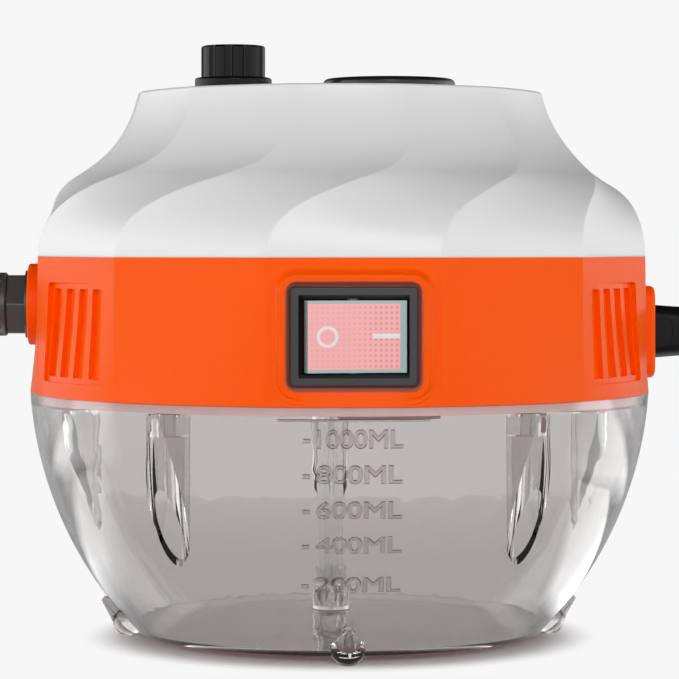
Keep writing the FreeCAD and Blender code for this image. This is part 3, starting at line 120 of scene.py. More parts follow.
def noise(tree, scale, detail, vector=None):
    """Noise between 0 and 1 with its features about 1 / scale metres apart."""
    inputs = {"Vector": vector or coordinates(tree), "Scale": scale, "Detail": detail}
    return add(tree, "ShaderNodeTexNoise", inputs).outputs["Fac"]


def ramp(tree, value, start, end, first, last, **settings):
    """Number that goes from first to last while the value runs from start to end."""
    inputs = {"Value": value, "From Min": start, "From Max": end, "To Min": first, "To Max": last}
    return add(tree, "ShaderNodeMapRange", inputs, **settings).outputs["Result"]


def spread(tree, factor, low, high):
    """A factor from 0 to 1 spread between two numbers."""
    return ramp(tree, factor, 0.0, 1.0, low, high)


def blended(tree, factor, first, second):
    """Mix of two colours, each a colour or a socket."""
    node = add(tree, "ShaderNodeMix", {"Factor": factor}, data_type="RGBA")
    for socket, colour in ((node.inputs[6], first), (node.inputs[7], second)):
        if isinstance(colour, bpy.types.NodeSocket):
            tree.links.new(colour, socket)
        else:
            socket.default_value = (*colour, 1)
    return node.outputs[2]


def bumped(tree, height, distance):
    """Normal from a height field whose full swing is `distance` metres."""
    return add(tree, "ShaderNodeBump", {"Height": height, "Distance": distance}).outputs["Normal"]


def shades(colour, change):
    """A darker and a lighter neighbour of a colour."""
    darker = tuple(max(0.0, c * (1 - change)) for c in colour)
    lighter = tuple(min(1.0, c * (1 + change)) for c in colour)
    return darker, lighter


def finish(material, tree, output, inputs):
    """Principled shader on the material's output."""
    shader = add(tree, "ShaderNodeBsdfPrincipled", inputs)
    tree.links.new(shader.outputs[0], output.inputs["Surface"])
    return material


def dress(name, material):
    """Put one material on a CAD node."""
    slots = nodes[name].data.materials
    slots.clear()
    slots.append(material)


print("helpers for shader nodes ready")

# %% [markdown]
# ## Moulded plastic
#
# Injection moulding leaves a skin that is almost flat, with a very shallow waviness from shrinkage and a
# fine spark-eroded grain on the matt parts. The waviness is what makes a highlight look like plastic and
# not like enamel, so two noises are used: a wide one for the waves and a fine one for the grain. Two more
# change the colour and the gloss a little from place to place.

# %% Moulded plastic
waves_per_metre = 45.0
blotches_per_metre = 28.0
gloss_patches_per_metre = 160.0
gloss_change = 0.12


def moulded(name, colour, roughness, grain=4000.0, grain_depth=0.004, wave_depth=0.02, change=0.02,
            **extra):
    """Moulded plastic. Depths are in millimetres, the grain in features per metre."""
    material, tree, output = new_material(name)
    waves = maths(tree, "MULTIPLY", noise(tree, waves_per_metre, 1.0), wave_depth)
    height = maths(tree, "ADD", waves, maths(tree, "MULTIPLY", noise(tree, grain, 2.0), grain_depth))
    dark, light = shades(colour, change)
    inputs = {
        "Base Color": blended(tree, noise(tree, blotches_per_metre, 4.0), dark, light),
        "Roughness": spread(tree, noise(tree, gloss_patches_per_metre, 4.0), roughness * (1 - gloss_change),
                            roughness * (1 + gloss_change)),
        "Normal": bumped(tree, height, MM),
    }
    inputs.update(extra)
    return finish(material, tree, output, inputs)


cover_plastic = moulded("cover_plastic", (0.745, 0.745, 0.745), 0.3, grain_depth=0.0012, wave_depth=0.01)
band_plastic = moulded("band_plastic", (1.0, 0.1, 0.0), 0.3, grain_depth=0.0015, wave_depth=0.01,
                       **{"Specular IOR Level": 0.07, "Subsurface Weight": 0.3,
                          "Subsurface Radius": (0.004, 0.0015, 0.0005)})
cap_plastic = moulded("cap_plastic", (0.01, 0.01, 0.011), 0.22, grain_depth=0.0008,
                      **{"Specular IOR Level": 0.28})
knob_plastic = moulded("knob_plastic", (0.004, 0.004, 0.004), 0.2, grain_depth=0.002,
                       **{"Specular IOR Level": 0.1})
gland_nylon = moulded("gland_nylon", (0.05, 0.05, 0.051), 0.4, grain_depth=0.004, change=0.08)
inner_nylon = moulded("inner_nylon", (0.03, 0.03, 0.032), 0.5, grain_depth=0.004)
bezel_plastic = moulded("bezel_plastic", (0.045, 0.045, 0.046), 0.34, grain_depth=0.002,
                        **{"Specular IOR Level": 0.25})
inner_white = moulded("inner_white", (0.78, 0.78, 0.76), 0.45, grain_depth=0.003)
coil_plastic = moulded("coil_plastic", (0.05, 0.05, 0.06), 0.5, grain_depth=0.006)
for name, material in (
    ("top_cover", cover_plastic),
    ("mid_housing", band_plastic),
    ("filler_cap", cap_plastic),
    ("filler_stopper", inner_nylon),
    ("steam_knob", knob_plastic),
    ("gland_body", gland_nylon),
    ("gland_nut", gland_nylon),
    ("gland_locknut", gland_nylon),
    ("switch_housing", bezel_plastic),
    ("filler_tube", inner_white),
    ("boiler_feet", inner_white),
    ("terminal_block", inner_white),
    ("boiler_thermostat", inner_nylon),
    ("pump_coil", coil_plastic),
):
    dress(name, material)
print("moulded pieces dressed")

# %% [markdown]
# ## Rubber and silicone
#
# Rubber has no clear reflection: its surface is covered with fine dust and pores. A rough shader with a
# deep fine grain gives that. Silicone tube is milky and lets light through, so it scatters below its skin.

# %% Rubber and silicone
rubber_grain = 2600.0
boot_rubber = moulded("boot_rubber", (0.006, 0.006, 0.0062), 0.36, grain=rubber_grain, grain_depth=0.006,
                      change=0.12, **{"Specular IOR Level": 0.12})
seal_rubber = moulded("seal_rubber", (0.025, 0.025, 0.026), 0.62, grain=rubber_grain, grain_depth=0.012,
                      change=0.1)
silicone = moulded("silicone", (0.74, 0.75, 0.75), 0.4, grain_depth=0.003,
                   **{"Subsurface Weight": 0.5, "Subsurface Radius": (0.004, 0.004, 0.004)})
dress("hose_boot", boot_rubber)
for name in ("screw_seals", "filler_tube_seal", "filler_cap_seal", "gland_seal", "pump_buffers",
             "deck_grommet"):
    dress(name, seal_rubber)
for name in ("feed_tube", "steam_tube"):
    dress(name, silicone)
print("boot, seals and tubes dressed")

# %% [markdown]
# ## Metals
#
# Turned brass and bright steel show fine tool marks, cast aluminium a coarse skin. One function makes them
# all: its bump is noise, squeezed along one axis for the tool marks and even for the cast.

# %% Metals
stains_per_metre = 60.0
metal_gloss_change = 0.2


def metal(name, colour, roughness, scale=(900.0, 900.0, 6000.0), depth=0.003, change=0.06):
    """Metal with marks; scale is how fine they are along each axis."""
    material, tree, output = new_material(name)
    stretched = add(tree, "ShaderNodeMapping", {"Vector": coordinates(tree), "Scale": scale}).outputs[0]
    marks = noise(tree, 1.0, 3.0, vector=stretched)
    dark, light = shades(colour, change)
    inputs = {
        "Base Color": blended(tree, noise(tree, stains_per_metre, 4.0), dark, light),
        "Metallic": 1.0,
        "Roughness": spread(tree, marks, roughness * (1 - metal_gloss_change),
                            roughness * (1 + metal_gloss_change)),
        "Normal": bumped(tree, marks, depth * MM),
    }
    return finish(material, tree, output, inputs)


brass = metal("brass", (0.78, 0.57, 0.26), 0.28)
steel = metal("steel", (0.58, 0.58, 0.59), 0.3)
zinc = metal("zinc", (0.66, 0.67, 0.7), 0.34)
aluminium = metal("aluminium", (0.72, 0.72, 0.73), 0.42, scale=(1500.0, 1500.0, 1500.0), depth=0.02)
for name, material in (
    ("outlet_fitting", brass),
    ("outlet_nut", brass),
    ("switch_blades", brass),
    ("pump_core", brass),
    ("heater_element", steel),
    ("pot_shaft", steel),
    ("pot_nut", steel),
    ("control_pot", zinc),
    ("pump_yoke", zinc),
    ("thermal_fuse", steel),
    ("boiler_block", aluminium),
    ("boiler_lid", aluminium),
):
    dress(name, material)
print("metal pieces dressed")

# %% [markdown]
# ## Board and lamp
#
# The control board is green laminate: the solder mask is a glossy film over a woven glass mat, so a fine
# checked weave shows in its bump. The lamp is a small glass bulb with a warm tint.

# %% Board and lamp
weave_scale = 520.0
weave_depth = 0.01 * MM
weave_change = 0.25
polish_patches_per_metre = 120.0
glass_waves_per_metre = 60.0
glass_wave_depth = 0.02 * MM


def laminate(name, colour):
    """Solder mask over woven glass."""
    material, tree, output = new_material(name)
    inputs = {"Vector": coordinates(tree), "Scale": weave_scale}
    threads = [add(tree, "ShaderNodeTexWave", inputs, bands_direction=axis).outputs["Fac"] for axis in "XY"]
    cloth = maths(tree, "MULTIPLY", *threads)
    dark, light = shades(colour, weave_change)
    inputs = {
        "Base Color": blended(tree, cloth, dark, light),
        "Roughness": 0.28,
        "Normal": bumped(tree, cloth, weave_depth),
    }
    return finish(material, tree, output, inputs)


def tinted_glass(name, colour, roughness):
    """Clear body with an even tint and faint waves."""
    material, tree, output = new_material(name)
    inputs = {
        "Base Color": (*colour, 1),
        "Roughness": spread(tree, noise(tree, polish_patches_per_metre, 3.0), roughness, roughness * 1.6),
        "IOR": 1.5,
        "Transmission Weight": 1.0,
        "Normal": bumped(tree, noise(tree, glass_waves_per_metre, 2.0), glass_wave_depth),
    }
    return finish(material, tree, output, inputs)


dress("control_board", laminate("board_green", (0.03, 0.16, 0.06)))
dress("switch_lamp", tinted_glass("lamp_glass", (0.95, 0.7, 0.6), 0.02))
print("board and lamp dressed")

# %% [markdown]
# ## The clear bowl
#
# The bowl is polished polycarbonate with a smoky tint. It could be faked with a see-through shader, but the
# wells and feet only look right when light bends in them, so real refraction is used. Absorption is given by
# the base colour, which tints each wall that a ray passes. The dark outline is painted shade: Layer Weight's
# Facing darkens the base colour where the wall is seen edge on.

# %% Bowl material
clear_tint = (0.76, 0.745, 0.74)
painted_edge_shade = (0.3, 0.295, 0.295)
edge_start = 0.66
edge_end = 0.8


def bowl_material(name):
    """Smoky clear plastic, with painted shade where it is seen edge on."""
    material, tree, output = new_material(name)
    facing = add(tree, "ShaderNodeLayerWeight", {"Blend": 0.5}).outputs["Facing"]
    # painted shade: the base colour darkens where the wall is seen edge on
    edge = ramp(tree, facing, edge_start, edge_end, 0.0, 1.0, interpolation_type="SMOOTHSTEP")
    inputs = {
        "Base Color": blended(tree, edge, clear_tint, painted_edge_shade),
        "Roughness": spread(tree, noise(tree, polish_patches_per_metre, 3.0), 0.012, 0.02),
        "IOR": 1.5,
        "Transmission Weight": 1.0,
        "Normal": bumped(tree, noise(tree, glass_waves_per_metre, 2.0), glass_wave_depth),
    }
    return finish(material, tree, output, inputs)


bowl_clear = bowl_material("bowl_clear")
dress("tank_bowl", bowl_clear)
tube_clear = tinted_glass("tube_clear", (0.95, 0.95, 0.95), 0.05)
for name in ("suction_tube", "suction_filter"):
    dress(name, tube_clear)
print("bowl and suction tube dressed")

# %% [markdown]
# ## The lit lens of the switch
#
# The rocker is red translucent plastic with a clear rim, and the rim's lighter grey-green colour is a
# painted highlight of its chamfered edge. Behind its smooth face lies a grid of small pyramids that spread
# the lamp's light, and they show as rows of dots, fainter on the side that is tipped away; that fading is
# painted shading. The dots are drawn by sawtooth waves on X and Z, and the ribs of its left end face by one
# on Z, with painted shade in the grooves between the ribs.

# %% Lens material
lens_middle = (0.6 * MM, 89.65 * MM)
lens_half = (13.0 * MM, 9.45 * MM)
rim_width = 0.85 * MM
dot_pitch = 1.4 * MM
rib_pitch = 1.46 * MM
lens_colour = (0.78, 0.43, 0.43)
dot_colour = (0.68, 0.26, 0.26)
# painted highlight: the rim's lighter grey-green stands for the light that its chamfered edge reflects
rim_highlight_colour = (0.4, 0.5, 0.5)
rib_colour = (0.3, 0.012, 0.02)
# painted shade: the near-black stripes stand for the shade in the grooves between the end face's ribs
rib_groove_shade = (0.012, 0.004, 0.004)
dot_core = 0.16
dot_edge = 0.3
faintest_dot = 0.3
dots_full_at = 8 * MM
# painted light: the emission on the lens face stands for the lamp behind it; the rim and the end face get
# none
lens_glow = 0.13
end_face_depth = 0.02 * MM
lens_waves_per_metre = 70.0
lens_wave_depth = 0.02 * MM


def dotted_lens(name):
    """Translucent plastic with dots behind its face, a clear rim with a painted highlight and a ribbed end
    with painted shade in its grooves.
    """
    material, tree, output = new_material(name)
    place = add(tree, "ShaderNodeSeparateXYZ", {"Vector": coordinates(tree)}).outputs
    from_dot = []
    past_rim = []
    for axis, middle, half in zip("XZ", lens_middle, lens_half):
        cell = maths(tree, "FRACT", maths(tree, "DIVIDE", place[axis], dot_pitch))
        from_dot.append(maths(tree, "ABSOLUTE", maths(tree, "SUBTRACT", cell, 0.5)))
        from_middle = maths(tree, "ABSOLUTE", maths(tree, "SUBTRACT", place[axis], middle))
        past_rim.append(maths(tree, "SUBTRACT", from_middle, half - rim_width))
    dot = ramp(tree, maths(tree, "MAXIMUM", *from_dot), dot_core, dot_edge, 1.0, 0.0)
    # painted shading: the dots fade towards the side of the rocker that is tipped away
    strength = ramp(tree, place["X"], 0.0, dots_full_at, faintest_dot, 1.0, interpolation_type="SMOOTHSTEP")
    face = blended(tree, maths(tree, "MULTIPLY", dot, strength), lens_colour, dot_colour)
    rim = maths(tree, "GREATER_THAN", maths(tree, "MAXIMUM", *past_rim), 0.0)
    rib = maths(tree, "FRACT", maths(tree, "DIVIDE", place["Z"], rib_pitch))
    ribs = maths(tree, "GREATER_THAN", rib, 0.5)
    end_face = maths(tree, "LESS_THAN", place["X"], lens_middle[0] - lens_half[0] - end_face_depth)
    ribbed = blended(tree, ribs, rib_groove_shade, rib_colour)
    unlit = maths(tree, "MAXIMUM", rim, end_face)
    inputs = {
        "Base Color": blended(tree, end_face, blended(tree, rim, face, rim_highlight_colour), ribbed),
        "Roughness": 0.12,
        "IOR": 1.49,
        "Specular IOR Level": 0.3,
        "Emission Color": (1.0, 0.16, 0.15, 1),
        "Emission Strength": maths(tree, "MULTIPLY", maths(tree, "SUBTRACT", 1.0, unlit), lens_glow),
        "Normal": bumped(tree, noise(tree, lens_waves_per_metre, 2.0), lens_wave_depth),
    }
    return finish(material, tree, output, inputs)


dress("switch_rocker", dotted_lens("rocker_lens"))
print("lens with dots every", round(dot_pitch / MM, 2), "mm")

# %% [markdown]
# ## Small things laid on the front
#
# Marks, a line round the switch's pad and a ring of painted shade in its recess all follow a surface that is
# already there. A ray shot at that surface tells how deep it lies, so one function can lay a low bead along
# any path on any piece.

# %% Bead along a path
bead_section = ((-1.0, -0.5), (-1.0, 0.3), (-0.6, 1.0), (0.6, 1.0), (1.0, 0.3), (1.0, -0.5))
ray_start = -200 * MM


def full_turn(steps):
    """Angles of equal steps all the way round."""
    return [2 * math.pi * i / steps for i in range(steps)]


def as_piece(name, mesh, material):
    """Object made of a finished bmesh, which is used up."""
    bmesh.ops.recalc_face_normals(mesh, faces=mesh.faces)
    data = bpy.data.meshes.new(name)
    mesh.to_mesh(data)
    mesh.free()
    data.materials.append(material)
    piece = bpy.data.objects.new(name, data)
    bpy.context.scene.collection.objects.link(piece)
    print(name, len(data.polygons), "faces")
    return piece


def tube_faces(mesh, rows, closed):
    """Faces between neighbouring rows of points, each row being a closed section."""
    count = len(rows[0])
    for here, there in zip(rows, rows[1:] + rows[:1] if closed else rows[1:]):
        for j in range(count):
            k = (j + 1) % count
            mesh.faces.new((here[j], there[j], there[k], here[k]))


def bead(name, node, path, half_width, rise, material, closed=True):
    """Low bead along a path of X and Z on the front of a CAD piece."""
    skin = nodes[node].data
    surface = BVHTree.FromPolygons([v.co for v in skin.vertices], [p.vertices[:] for p in skin.polygons])
    mesh = bmesh.new()
    rows = []
    for i, point in enumerate(path):
        before = path[i - 1] if closed or i else point
        after = path[(i + 1) % len(path)] if closed or i < len(path) - 1 else point
        along = (after - before).normalized()
        across = Vector((along.y, -along.x))
        row = []
        for side, lift in bead_section:
            spot = point + across * side * half_width
            depth = surface.ray_cast(Vector((spot.x, ray_start, spot.y)), Vector((0, 1, 0)))[0].y
            row.append(mesh.verts.new((spot.x, depth - lift * rise, spot.y)))
        rows.append(row)
    tube_faces(mesh, rows, closed)
    if not closed:
        mesh.faces.new(rows[0])
        mesh.faces.new(rows[-1])
    return as_piece(name, mesh, material)


# %% [markdown]
# The pad's line and the ring in the recess are rounded rectangles about the same middle as the lens. The
# line is the housing's own plastic, so it shows only by its shading. The ring is brownish red and is painted
# shade: a thin piece laid in the recess round the bezel to stand for the shade there.

# %% Pad line and ring of painted shade
corner_steps = 8
pad_line_size = (41.2 * MM, 34.2 * MM)
pad_line_corner = 5.6 * MM
pad_line_half = 0.7 * MM
pad_line_rise = 0.3 * MM
shade_ring_size = (35.0 * MM, 27.7 * MM)
shade_ring_corner = 2.4 * MM
shade_ring_half = 0.66 * MM
shade_ring_rise = 0.5 * MM


def rounded(middle, size, corner):
    """Points of a rounded rectangle in X and Z."""
    points = []
    for quarter in range(4):
        side_x = 1 if quarter in (0, 3) else -1
        side_z = 1 if quarter in (0, 1) else -1
        x = middle[0] + side_x * (size[0] / 2 - corner)
        z = middle[1] + side_z * (size[1] / 2 - corner)
        for i in range(corner_steps + 1):
            angle = math.pi / 2 * (quarter + i / corner_steps)
            points.append(Vector((x + corner * math.cos(angle), z + corner * math.sin(angle))))
    return points


pad_line = bead("pad_line", "mid_housing", rounded(lens_middle, pad_line_size, pad_line_corner),
                pad_line_half, pad_line_rise, band_plastic)
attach(pad_line, "base_unit")
# painted shade: a brownish red ring that stands for the shade in the switch's recess
recess_shade_paint = moulded("recess_shade_paint", (0.6, 0.17, 0.13), 0.6, grain_depth=0.004)
recess_shade_ring = bead("switch_recess_shade", "mid_housing", rounded(lens_middle, shade_ring_size, shade_ring_corner),
              shade_ring_half, shade_ring_rise, recess_shade_paint)
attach(recess_shade_ring, "base_unit")

# %% [markdown]
# The marks for off and on are printed on the lens: a circle and a bar. They could be painted into the
# lens's shader, but as thin beads they keep their own material, and they tip with the rocker.

# %% Marks on the rocker
off_mark = Vector((-6.35 * MM, 89.6 * MM))
off_mark_radius = 2.42 * MM
off_mark_half = 0.43 * MM
circle_steps = 48
on_mark = Vector((9.1 * MM, 89.8 * MM))
on_mark_length = 7.2 * MM
on_mark_half = 0.64 * MM
bar_steps = 8
mark_rise = 0.06 * MM

mark_paint = moulded("mark_paint", (0.8, 0.74, 0.74), 0.35, grain_depth=0.002)
circle = [off_mark + off_mark_radius * Vector((math.cos(turn), math.sin(turn)))
          for turn in full_turn(circle_steps)]
switch_off_mark = bead("switch_off_mark", "switch_rocker", circle, off_mark_half, mark_rise, mark_paint)
bar = [on_mark + Vector(((i / bar_steps - 0.5) * on_mark_length, 0)) for i in range(bar_steps + 1)]
switch_on_mark = bead("switch_on_mark", "switch_rocker", bar, on_mark_half, mark_rise, mark_paint,
                      closed=False)
for mark in (switch_off_mark, switch_on_mark):
    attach(mark, "rocker")

# %% [markdown]
# ## A small kit for geometry nodes
#
# What follows a rule is grown by geometry nodes: the rule is built once as a tree with named sizes, and the
# result is turned into a plain mesh, because a plain mesh can be exported and posed. The same `add` and
# `maths` helpers work in these trees too.

# %% Geometry helpers
def new_tree(name, sizes):
    """Geometry tree with named inputs. Returns the tree, its sockets by name and their identifiers."""
    tree = bpy.data.node_groups.new(name, "GeometryNodeTree")
    tree.interface.new_socket("Geometry", in_out="OUTPUT", socket_type="NodeSocketGeometry")
    identifiers = {}
    for label, kind in sizes.items():
        socket = tree.interface.new_socket(label, in_out="INPUT", socket_type="NodeSocket" + kind)
        identifiers[label] = socket.identifier
    start = tree.nodes.new("NodeGroupInput")
    return tree, start.outputs, identifiers


def close_tree(tree, geometry, material):
    """Realize Instances, Set Material and the output, which end every tree here."""
    real = add(tree, "GeometryNodeRealizeInstances", {"Geometry": geometry})
    painted = add(tree, "GeometryNodeSetMaterial", {"Geometry": real.outputs[0], "Material": material})
    end = tree.nodes.new("NodeGroupOutput")
    tree.links.new(painted.outputs[0], end.inputs[0])


def grown(name, tree, identifiers, values):
    """Object with the plain mesh that a tree makes with these values."""
    piece = bpy.data.objects.new(name, bpy.data.meshes.new(name + "_seed"))
    bpy.context.scene.collection.objects.link(piece)
    modifier = piece.modifiers.new("tree", "NODES")
    modifier.node_group = tree
    for label, value in values.items():
        modifier[identifiers[label]] = value
    evaluated = piece.evaluated_get(bpy.context.evaluated_depsgraph_get())
    mesh = bpy.data.meshes.new_from_object(evaluated)
    piece.modifiers.remove(modifier)
    piece.data = mesh
    mesh.name = name
    print(name, len(mesh.vertices), "points")
    return piece


print("helpers for geometry nodes ready")

# %% [markdown]
# ## The swirled cover
#
# Twelve shallow facets rise from the band, sweep round by one whole facet on the shoulder, and fade into
# a round crown. Pushing a cylinder's points about by hand would never keep the twelve alike. The shape
# follows a rule, so a flat grid is wrapped round the axis: one direction is the angle, the other the
# height. A shoulder arc and a hollow neck arc give the radius, a tanh curve gives the twist, and a
# parabola draws each facet in.

# %% Sizes of the cover
facet_count = 12
band_top = 110.3 * MM
cover_top = 157.6 * MM
rim_radius = 89.4 * MM
shoulder_radius = 27.3 * MM
neck_radius = 39.2 * MM
shoulder_lean = math.radians(57.9)
rim_sag = 0.032
crown_sag = 0.011
sag_fade = 1.4
twist_middle = 20.1 * MM
twist_below = 8.6 * MM
twist_above = 6.7 * MM
crown_edge = 0.9 * MM
cover_wall = 2.4 * MM
crease_softness = 0.02
columns_per_facet = 24
wall_rows = 96
print("cover", round((cover_top - band_top) / MM, 1), "mm high")

# %% [markdown]
# The tree below is that rule in nodes. It reads a point's place on the flat grid, works out which facet it
# belongs to, how far across it lies and how high, and sets the point's place on the wall.

# %% Tree of the cover's wall
merge_distance = 0.002 * MM


def cover_tree():
    """Wall of the cover, from the band up to the crown's edge."""
    tree, size, identifiers = new_tree("swirled wall", {
        "Columns": "Int", "Rows": "Int", "Height": "Float", "Crease Softness": "Float",
        "Material": "Material"})
    grid = add(tree, "GeometryNodeMeshGrid", {"Size X": 1.0, "Size Y": 1.0, "Vertices X": size["Columns"],
                                              "Vertices Y": size["Rows"]})
    flat = add(tree, "ShaderNodeSeparateXYZ", {0: add(tree, "GeometryNodeInputPosition").outputs[0]})
    turn = maths(tree, "MULTIPLY", maths(tree, "ADD", flat.outputs["X"], 0.5), float(facet_count))
    rise = maths(tree, "MULTIPLY", maths(tree, "ADD", flat.outputs["Y"], 0.5), size["Height"])

    # across a facet: s runs from -1 to 1, and its columns crowd towards the creases
    s = maths(tree, "SUBTRACT", maths(tree, "MULTIPLY", maths(tree, "FRACT", turn), 2.0), 1.0)
    even = maths(tree, "SUBTRACT", 1.0, maths(tree, "ABSOLUTE", s))
    off = maths(tree, "MULTIPLY", even, even)
    side = maths(tree, "SIGN", s)
    place = maths(tree, "MULTIPLY", side, maths(tree, "SUBTRACT", 1.0, off))
    centre = maths(tree, "ADD", maths(tree, "FLOOR", turn), 0.5)
    column = maths(tree, "ADD", centre, maths(tree, "MULTIPLY", place, 0.5))

    # how far the facet is drawn in, with the crease rounded off
    soft = size["Crease Softness"]
    open_part = maths(tree, "MULTIPLY", maths(tree, "SUBTRACT", 1.0, off),
                      maths(tree, "SUBTRACT", 1.0, off))
    slope = maths(tree, "DIVIDE", maths(tree, "SUBTRACT", 1.0, soft), soft)
    crease_part = maths(tree, "SUBTRACT", maths(tree, "SUBTRACT", 1.0, soft),
                        maths(tree, "MULTIPLY", slope, maths(tree, "MULTIPLY", off, off)))
    near = maths(tree, "LESS_THAN", off, soft)
    share = add(tree, "ShaderNodeMix", {0: near, 2: open_part, 3: crease_part}).outputs[0]

    # radius: shoulder arc, then neck arc
    lean_cos, lean_sin = math.cos(shoulder_lean), math.sin(shoulder_lean)
    shoulder_centre = rim_radius - shoulder_radius
    neck_centre = shoulder_centre + (shoulder_radius + neck_radius) * lean_cos
    neck_rise = (shoulder_radius + neck_radius) * lean_sin
    shoulder = maths(tree, "ADD", maths(tree, "SQRT", maths(tree, "SUBTRACT", shoulder_radius ** 2, maths(
        tree, "MULTIPLY", rise, rise))), shoulder_centre)
    down = maths(tree, "SUBTRACT", rise, neck_rise)
    neck = maths(tree, "SUBTRACT", neck_centre, maths(tree, "SQRT", maths(
        tree, "SUBTRACT", neck_radius ** 2, maths(tree, "MULTIPLY", down, down))))
    above = maths(tree, "GREATER_THAN", rise, shoulder_radius * lean_sin)
    radius = add(tree, "ShaderNodeMix", {0: above, 2: shoulder, 3: neck}).outputs[0]

    # twist and fading sag
    from_middle = maths(tree, "SUBTRACT", rise, twist_middle)
    length = add(tree, "ShaderNodeMix", {0: maths(tree, "GREATER_THAN", from_middle, 0.0), 2: twist_below,
                                         3: twist_above}).outputs[0]
    sweep = maths(tree, "ADD", maths(tree, "TANH", maths(tree, "DIVIDE", from_middle, length)), 1.0)
    twist = maths(tree, "MULTIPLY", sweep, math.pi / facet_count)
    fade = maths(tree, "POWER", maths(tree, "DIVIDE", rise, cover_top - band_top), sag_fade)
    sag = add(tree, "ShaderNodeMix", {0: fade, 2: rim_sag, 3: crown_sag}).outputs[0]
    drawn = maths(tree, "MULTIPLY", radius, maths(tree, "SUBTRACT", 1.0, maths(
        tree, "MULTIPLY", sag, maths(tree, "SUBTRACT", 1.0, share))))
    angle = maths(tree, "ADD", twist, maths(tree, "MULTIPLY", maths(tree, "SUBTRACT", column, 0.5),
                                            2 * math.pi / facet_count))
    spot = add(tree, "ShaderNodeCombineXYZ", {
        "X": maths(tree, "MULTIPLY", drawn, maths(tree, "SINE", angle)),
        "Y": maths(tree, "MULTIPLY", drawn, maths(tree, "MULTIPLY", maths(tree, "COSINE", angle), -1.0)),
        "Z": maths(tree, "ADD", rise, band_top)})
    wrapped = add(tree, "GeometryNodeSetPosition", {"Geometry": grid.outputs["Mesh"],
                                                    "Position": spot.outputs[0]})
    joined = add(tree, "GeometryNodeMergeByDistance", {"Geometry": wrapped.outputs[0],
                                                       "Distance": merge_distance})
    close_tree(tree, joined.outputs[0], size["Material"])
    return tree, identifiers


wall_tree, wall_inputs = cover_tree()
print("wall tree of", len(wall_tree.nodes), "nodes")

# %% [markdown]
# The grid stops at the crown's edge. The edge and the flat top, with its holes for the filler neck and the
# knob's bush, are simpler in mesh code: the last ring is extruded along a quarter circle, and the flat is
# filled between three closed rings. Solidify then gives the skin its wall.

# %% Crown and wall of the cover
filler_x = 14.5 * MM
filler_hole = 15.3 * MM
knob_x = -31.0 * MM
bush_hole = 3.6 * MM
edge_steps = 6
filler_steps = 64
bush_steps = 32
joint_slack = 0.01 * MM
level_normal = 0.999


def ring(mesh, radius, x, height, steps):
    """Closed ring of edges."""
    points = [mesh.verts.new((x + radius * math.cos(turn), radius * math.sin(turn), height))
              for turn in full_turn(steps)]
    return [mesh.edges.new((points[i], points[(i + 1) % steps])) for i in range(steps)]


def crown(piece):
    """Rounded edge and flat top on the wall's last ring."""
    mesh = bmesh.new()
    mesh.from_mesh(piece.data)
    joint = cover_top - crown_edge
    edges = [e for e in mesh.edges if e.is_boundary and min(v.co.z for v in e.verts) > joint - joint_slack]
    print("crown edge from", len(edges), "edges")
    turn = 0.0
    for i in range(1, edge_steps + 1):
        last_turn, turn = turn, math.pi / 2 * i / edge_steps
        made = bmesh.ops.extrude_edge_only(mesh, edges=edges)["geom"]
        edges = [g for g in made if isinstance(g, bmesh.types.BMEdge) and g.is_boundary]
        for v in {v for e in edges for v in e.verts}:
            flat = Vector((v.co.x, v.co.y, 0))
            inward = crown_edge * (math.cos(last_turn) - math.cos(turn))
            v.co = flat - flat.normalized() * inward + Vector((0, 0, joint + crown_edge * math.sin(turn)))
    edges += ring(mesh, filler_hole, filler_x, cover_top, filler_steps)
    edges += ring(mesh, bush_hole, knob_x, cover_top, bush_steps)
    bmesh.ops.triangle_fill(mesh, edges=edges, use_beauty=True, normal=(0, 0, 1))
    for face in mesh.faces:
        face.smooth = face.normal.z < level_normal
    mesh.to_mesh(piece.data)
    mesh.free()


cover = grown("cover_skin", wall_tree, wall_inputs, {
    "Columns": columns_per_facet * facet_count + 1, "Rows": wall_rows,
    "Height": cover_top - crown_edge - band_top, "Crease Softness": crease_softness,
    "Material": cover_plastic})
crown(cover)
thickness = cover.modifiers.new("wall", "SOLIDIFY")
thickness.thickness = cover_wall
thickness.offset = -1
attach(cover, "base_unit")
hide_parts("top_cover")

# %% [markdown]
# ## The seal of the tank
#
# The seal touches the bowl's wall all round, and seen through clear plastic every flat of a coarse ring
# would show as a stripe. So it is turned anew with fine steps, with a hair's width of air to the wall. A
# faint glow stands for the light that the clear wall leads to it.

# %% Seal of the tank
seal_outer = 87.6 * MM
seal_inner = 86.0 * MM
seal_low = 68.9 * MM
seal_high = 71.1 * MM
seal_air = 0.1 * MM
seal_steps = 720


def turned(name, profile, steps, material):
    """Ring turned from a closed profile of (radius, height) points."""
    mesh = bmesh.new()
    rows = [[mesh.verts.new((radius * math.cos(turn), radius * math.sin(turn), height))
             for radius, height in profile] for turn in full_turn(steps)]
    tube_faces(mesh, rows, closed=True)
    return as_piece(name, mesh, material)


tank_seal_silicone = moulded("tank_seal_silicone", (1.0, 0.76, 0.74), 0.45, grain_depth=0.003,
                             **{"Emission Color": (1.0, 0.6, 0.58, 1), "Emission Strength": 0.32})
seal_rim = seal_outer - seal_air
seal_profile = ((seal_inner, seal_low), (seal_rim, seal_low), (seal_rim, seal_high), (seal_inner, seal_high))
tank_seal_ring = turned("tank_seal_ring", seal_profile, seal_steps, tank_seal_silicone)
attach(tank_seal_ring, "base_unit")
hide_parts("tank_seal")

# %% [markdown]
# ## The raised scale
#
# The bowl carries a scale in raised letters, cut into the mould. An image could fake them, but raised clear
# letters show only by how they bend light at their edges, so they are real relief: text is turned into mesh
# and wrapped on the bowl, whose outline is one large arc.

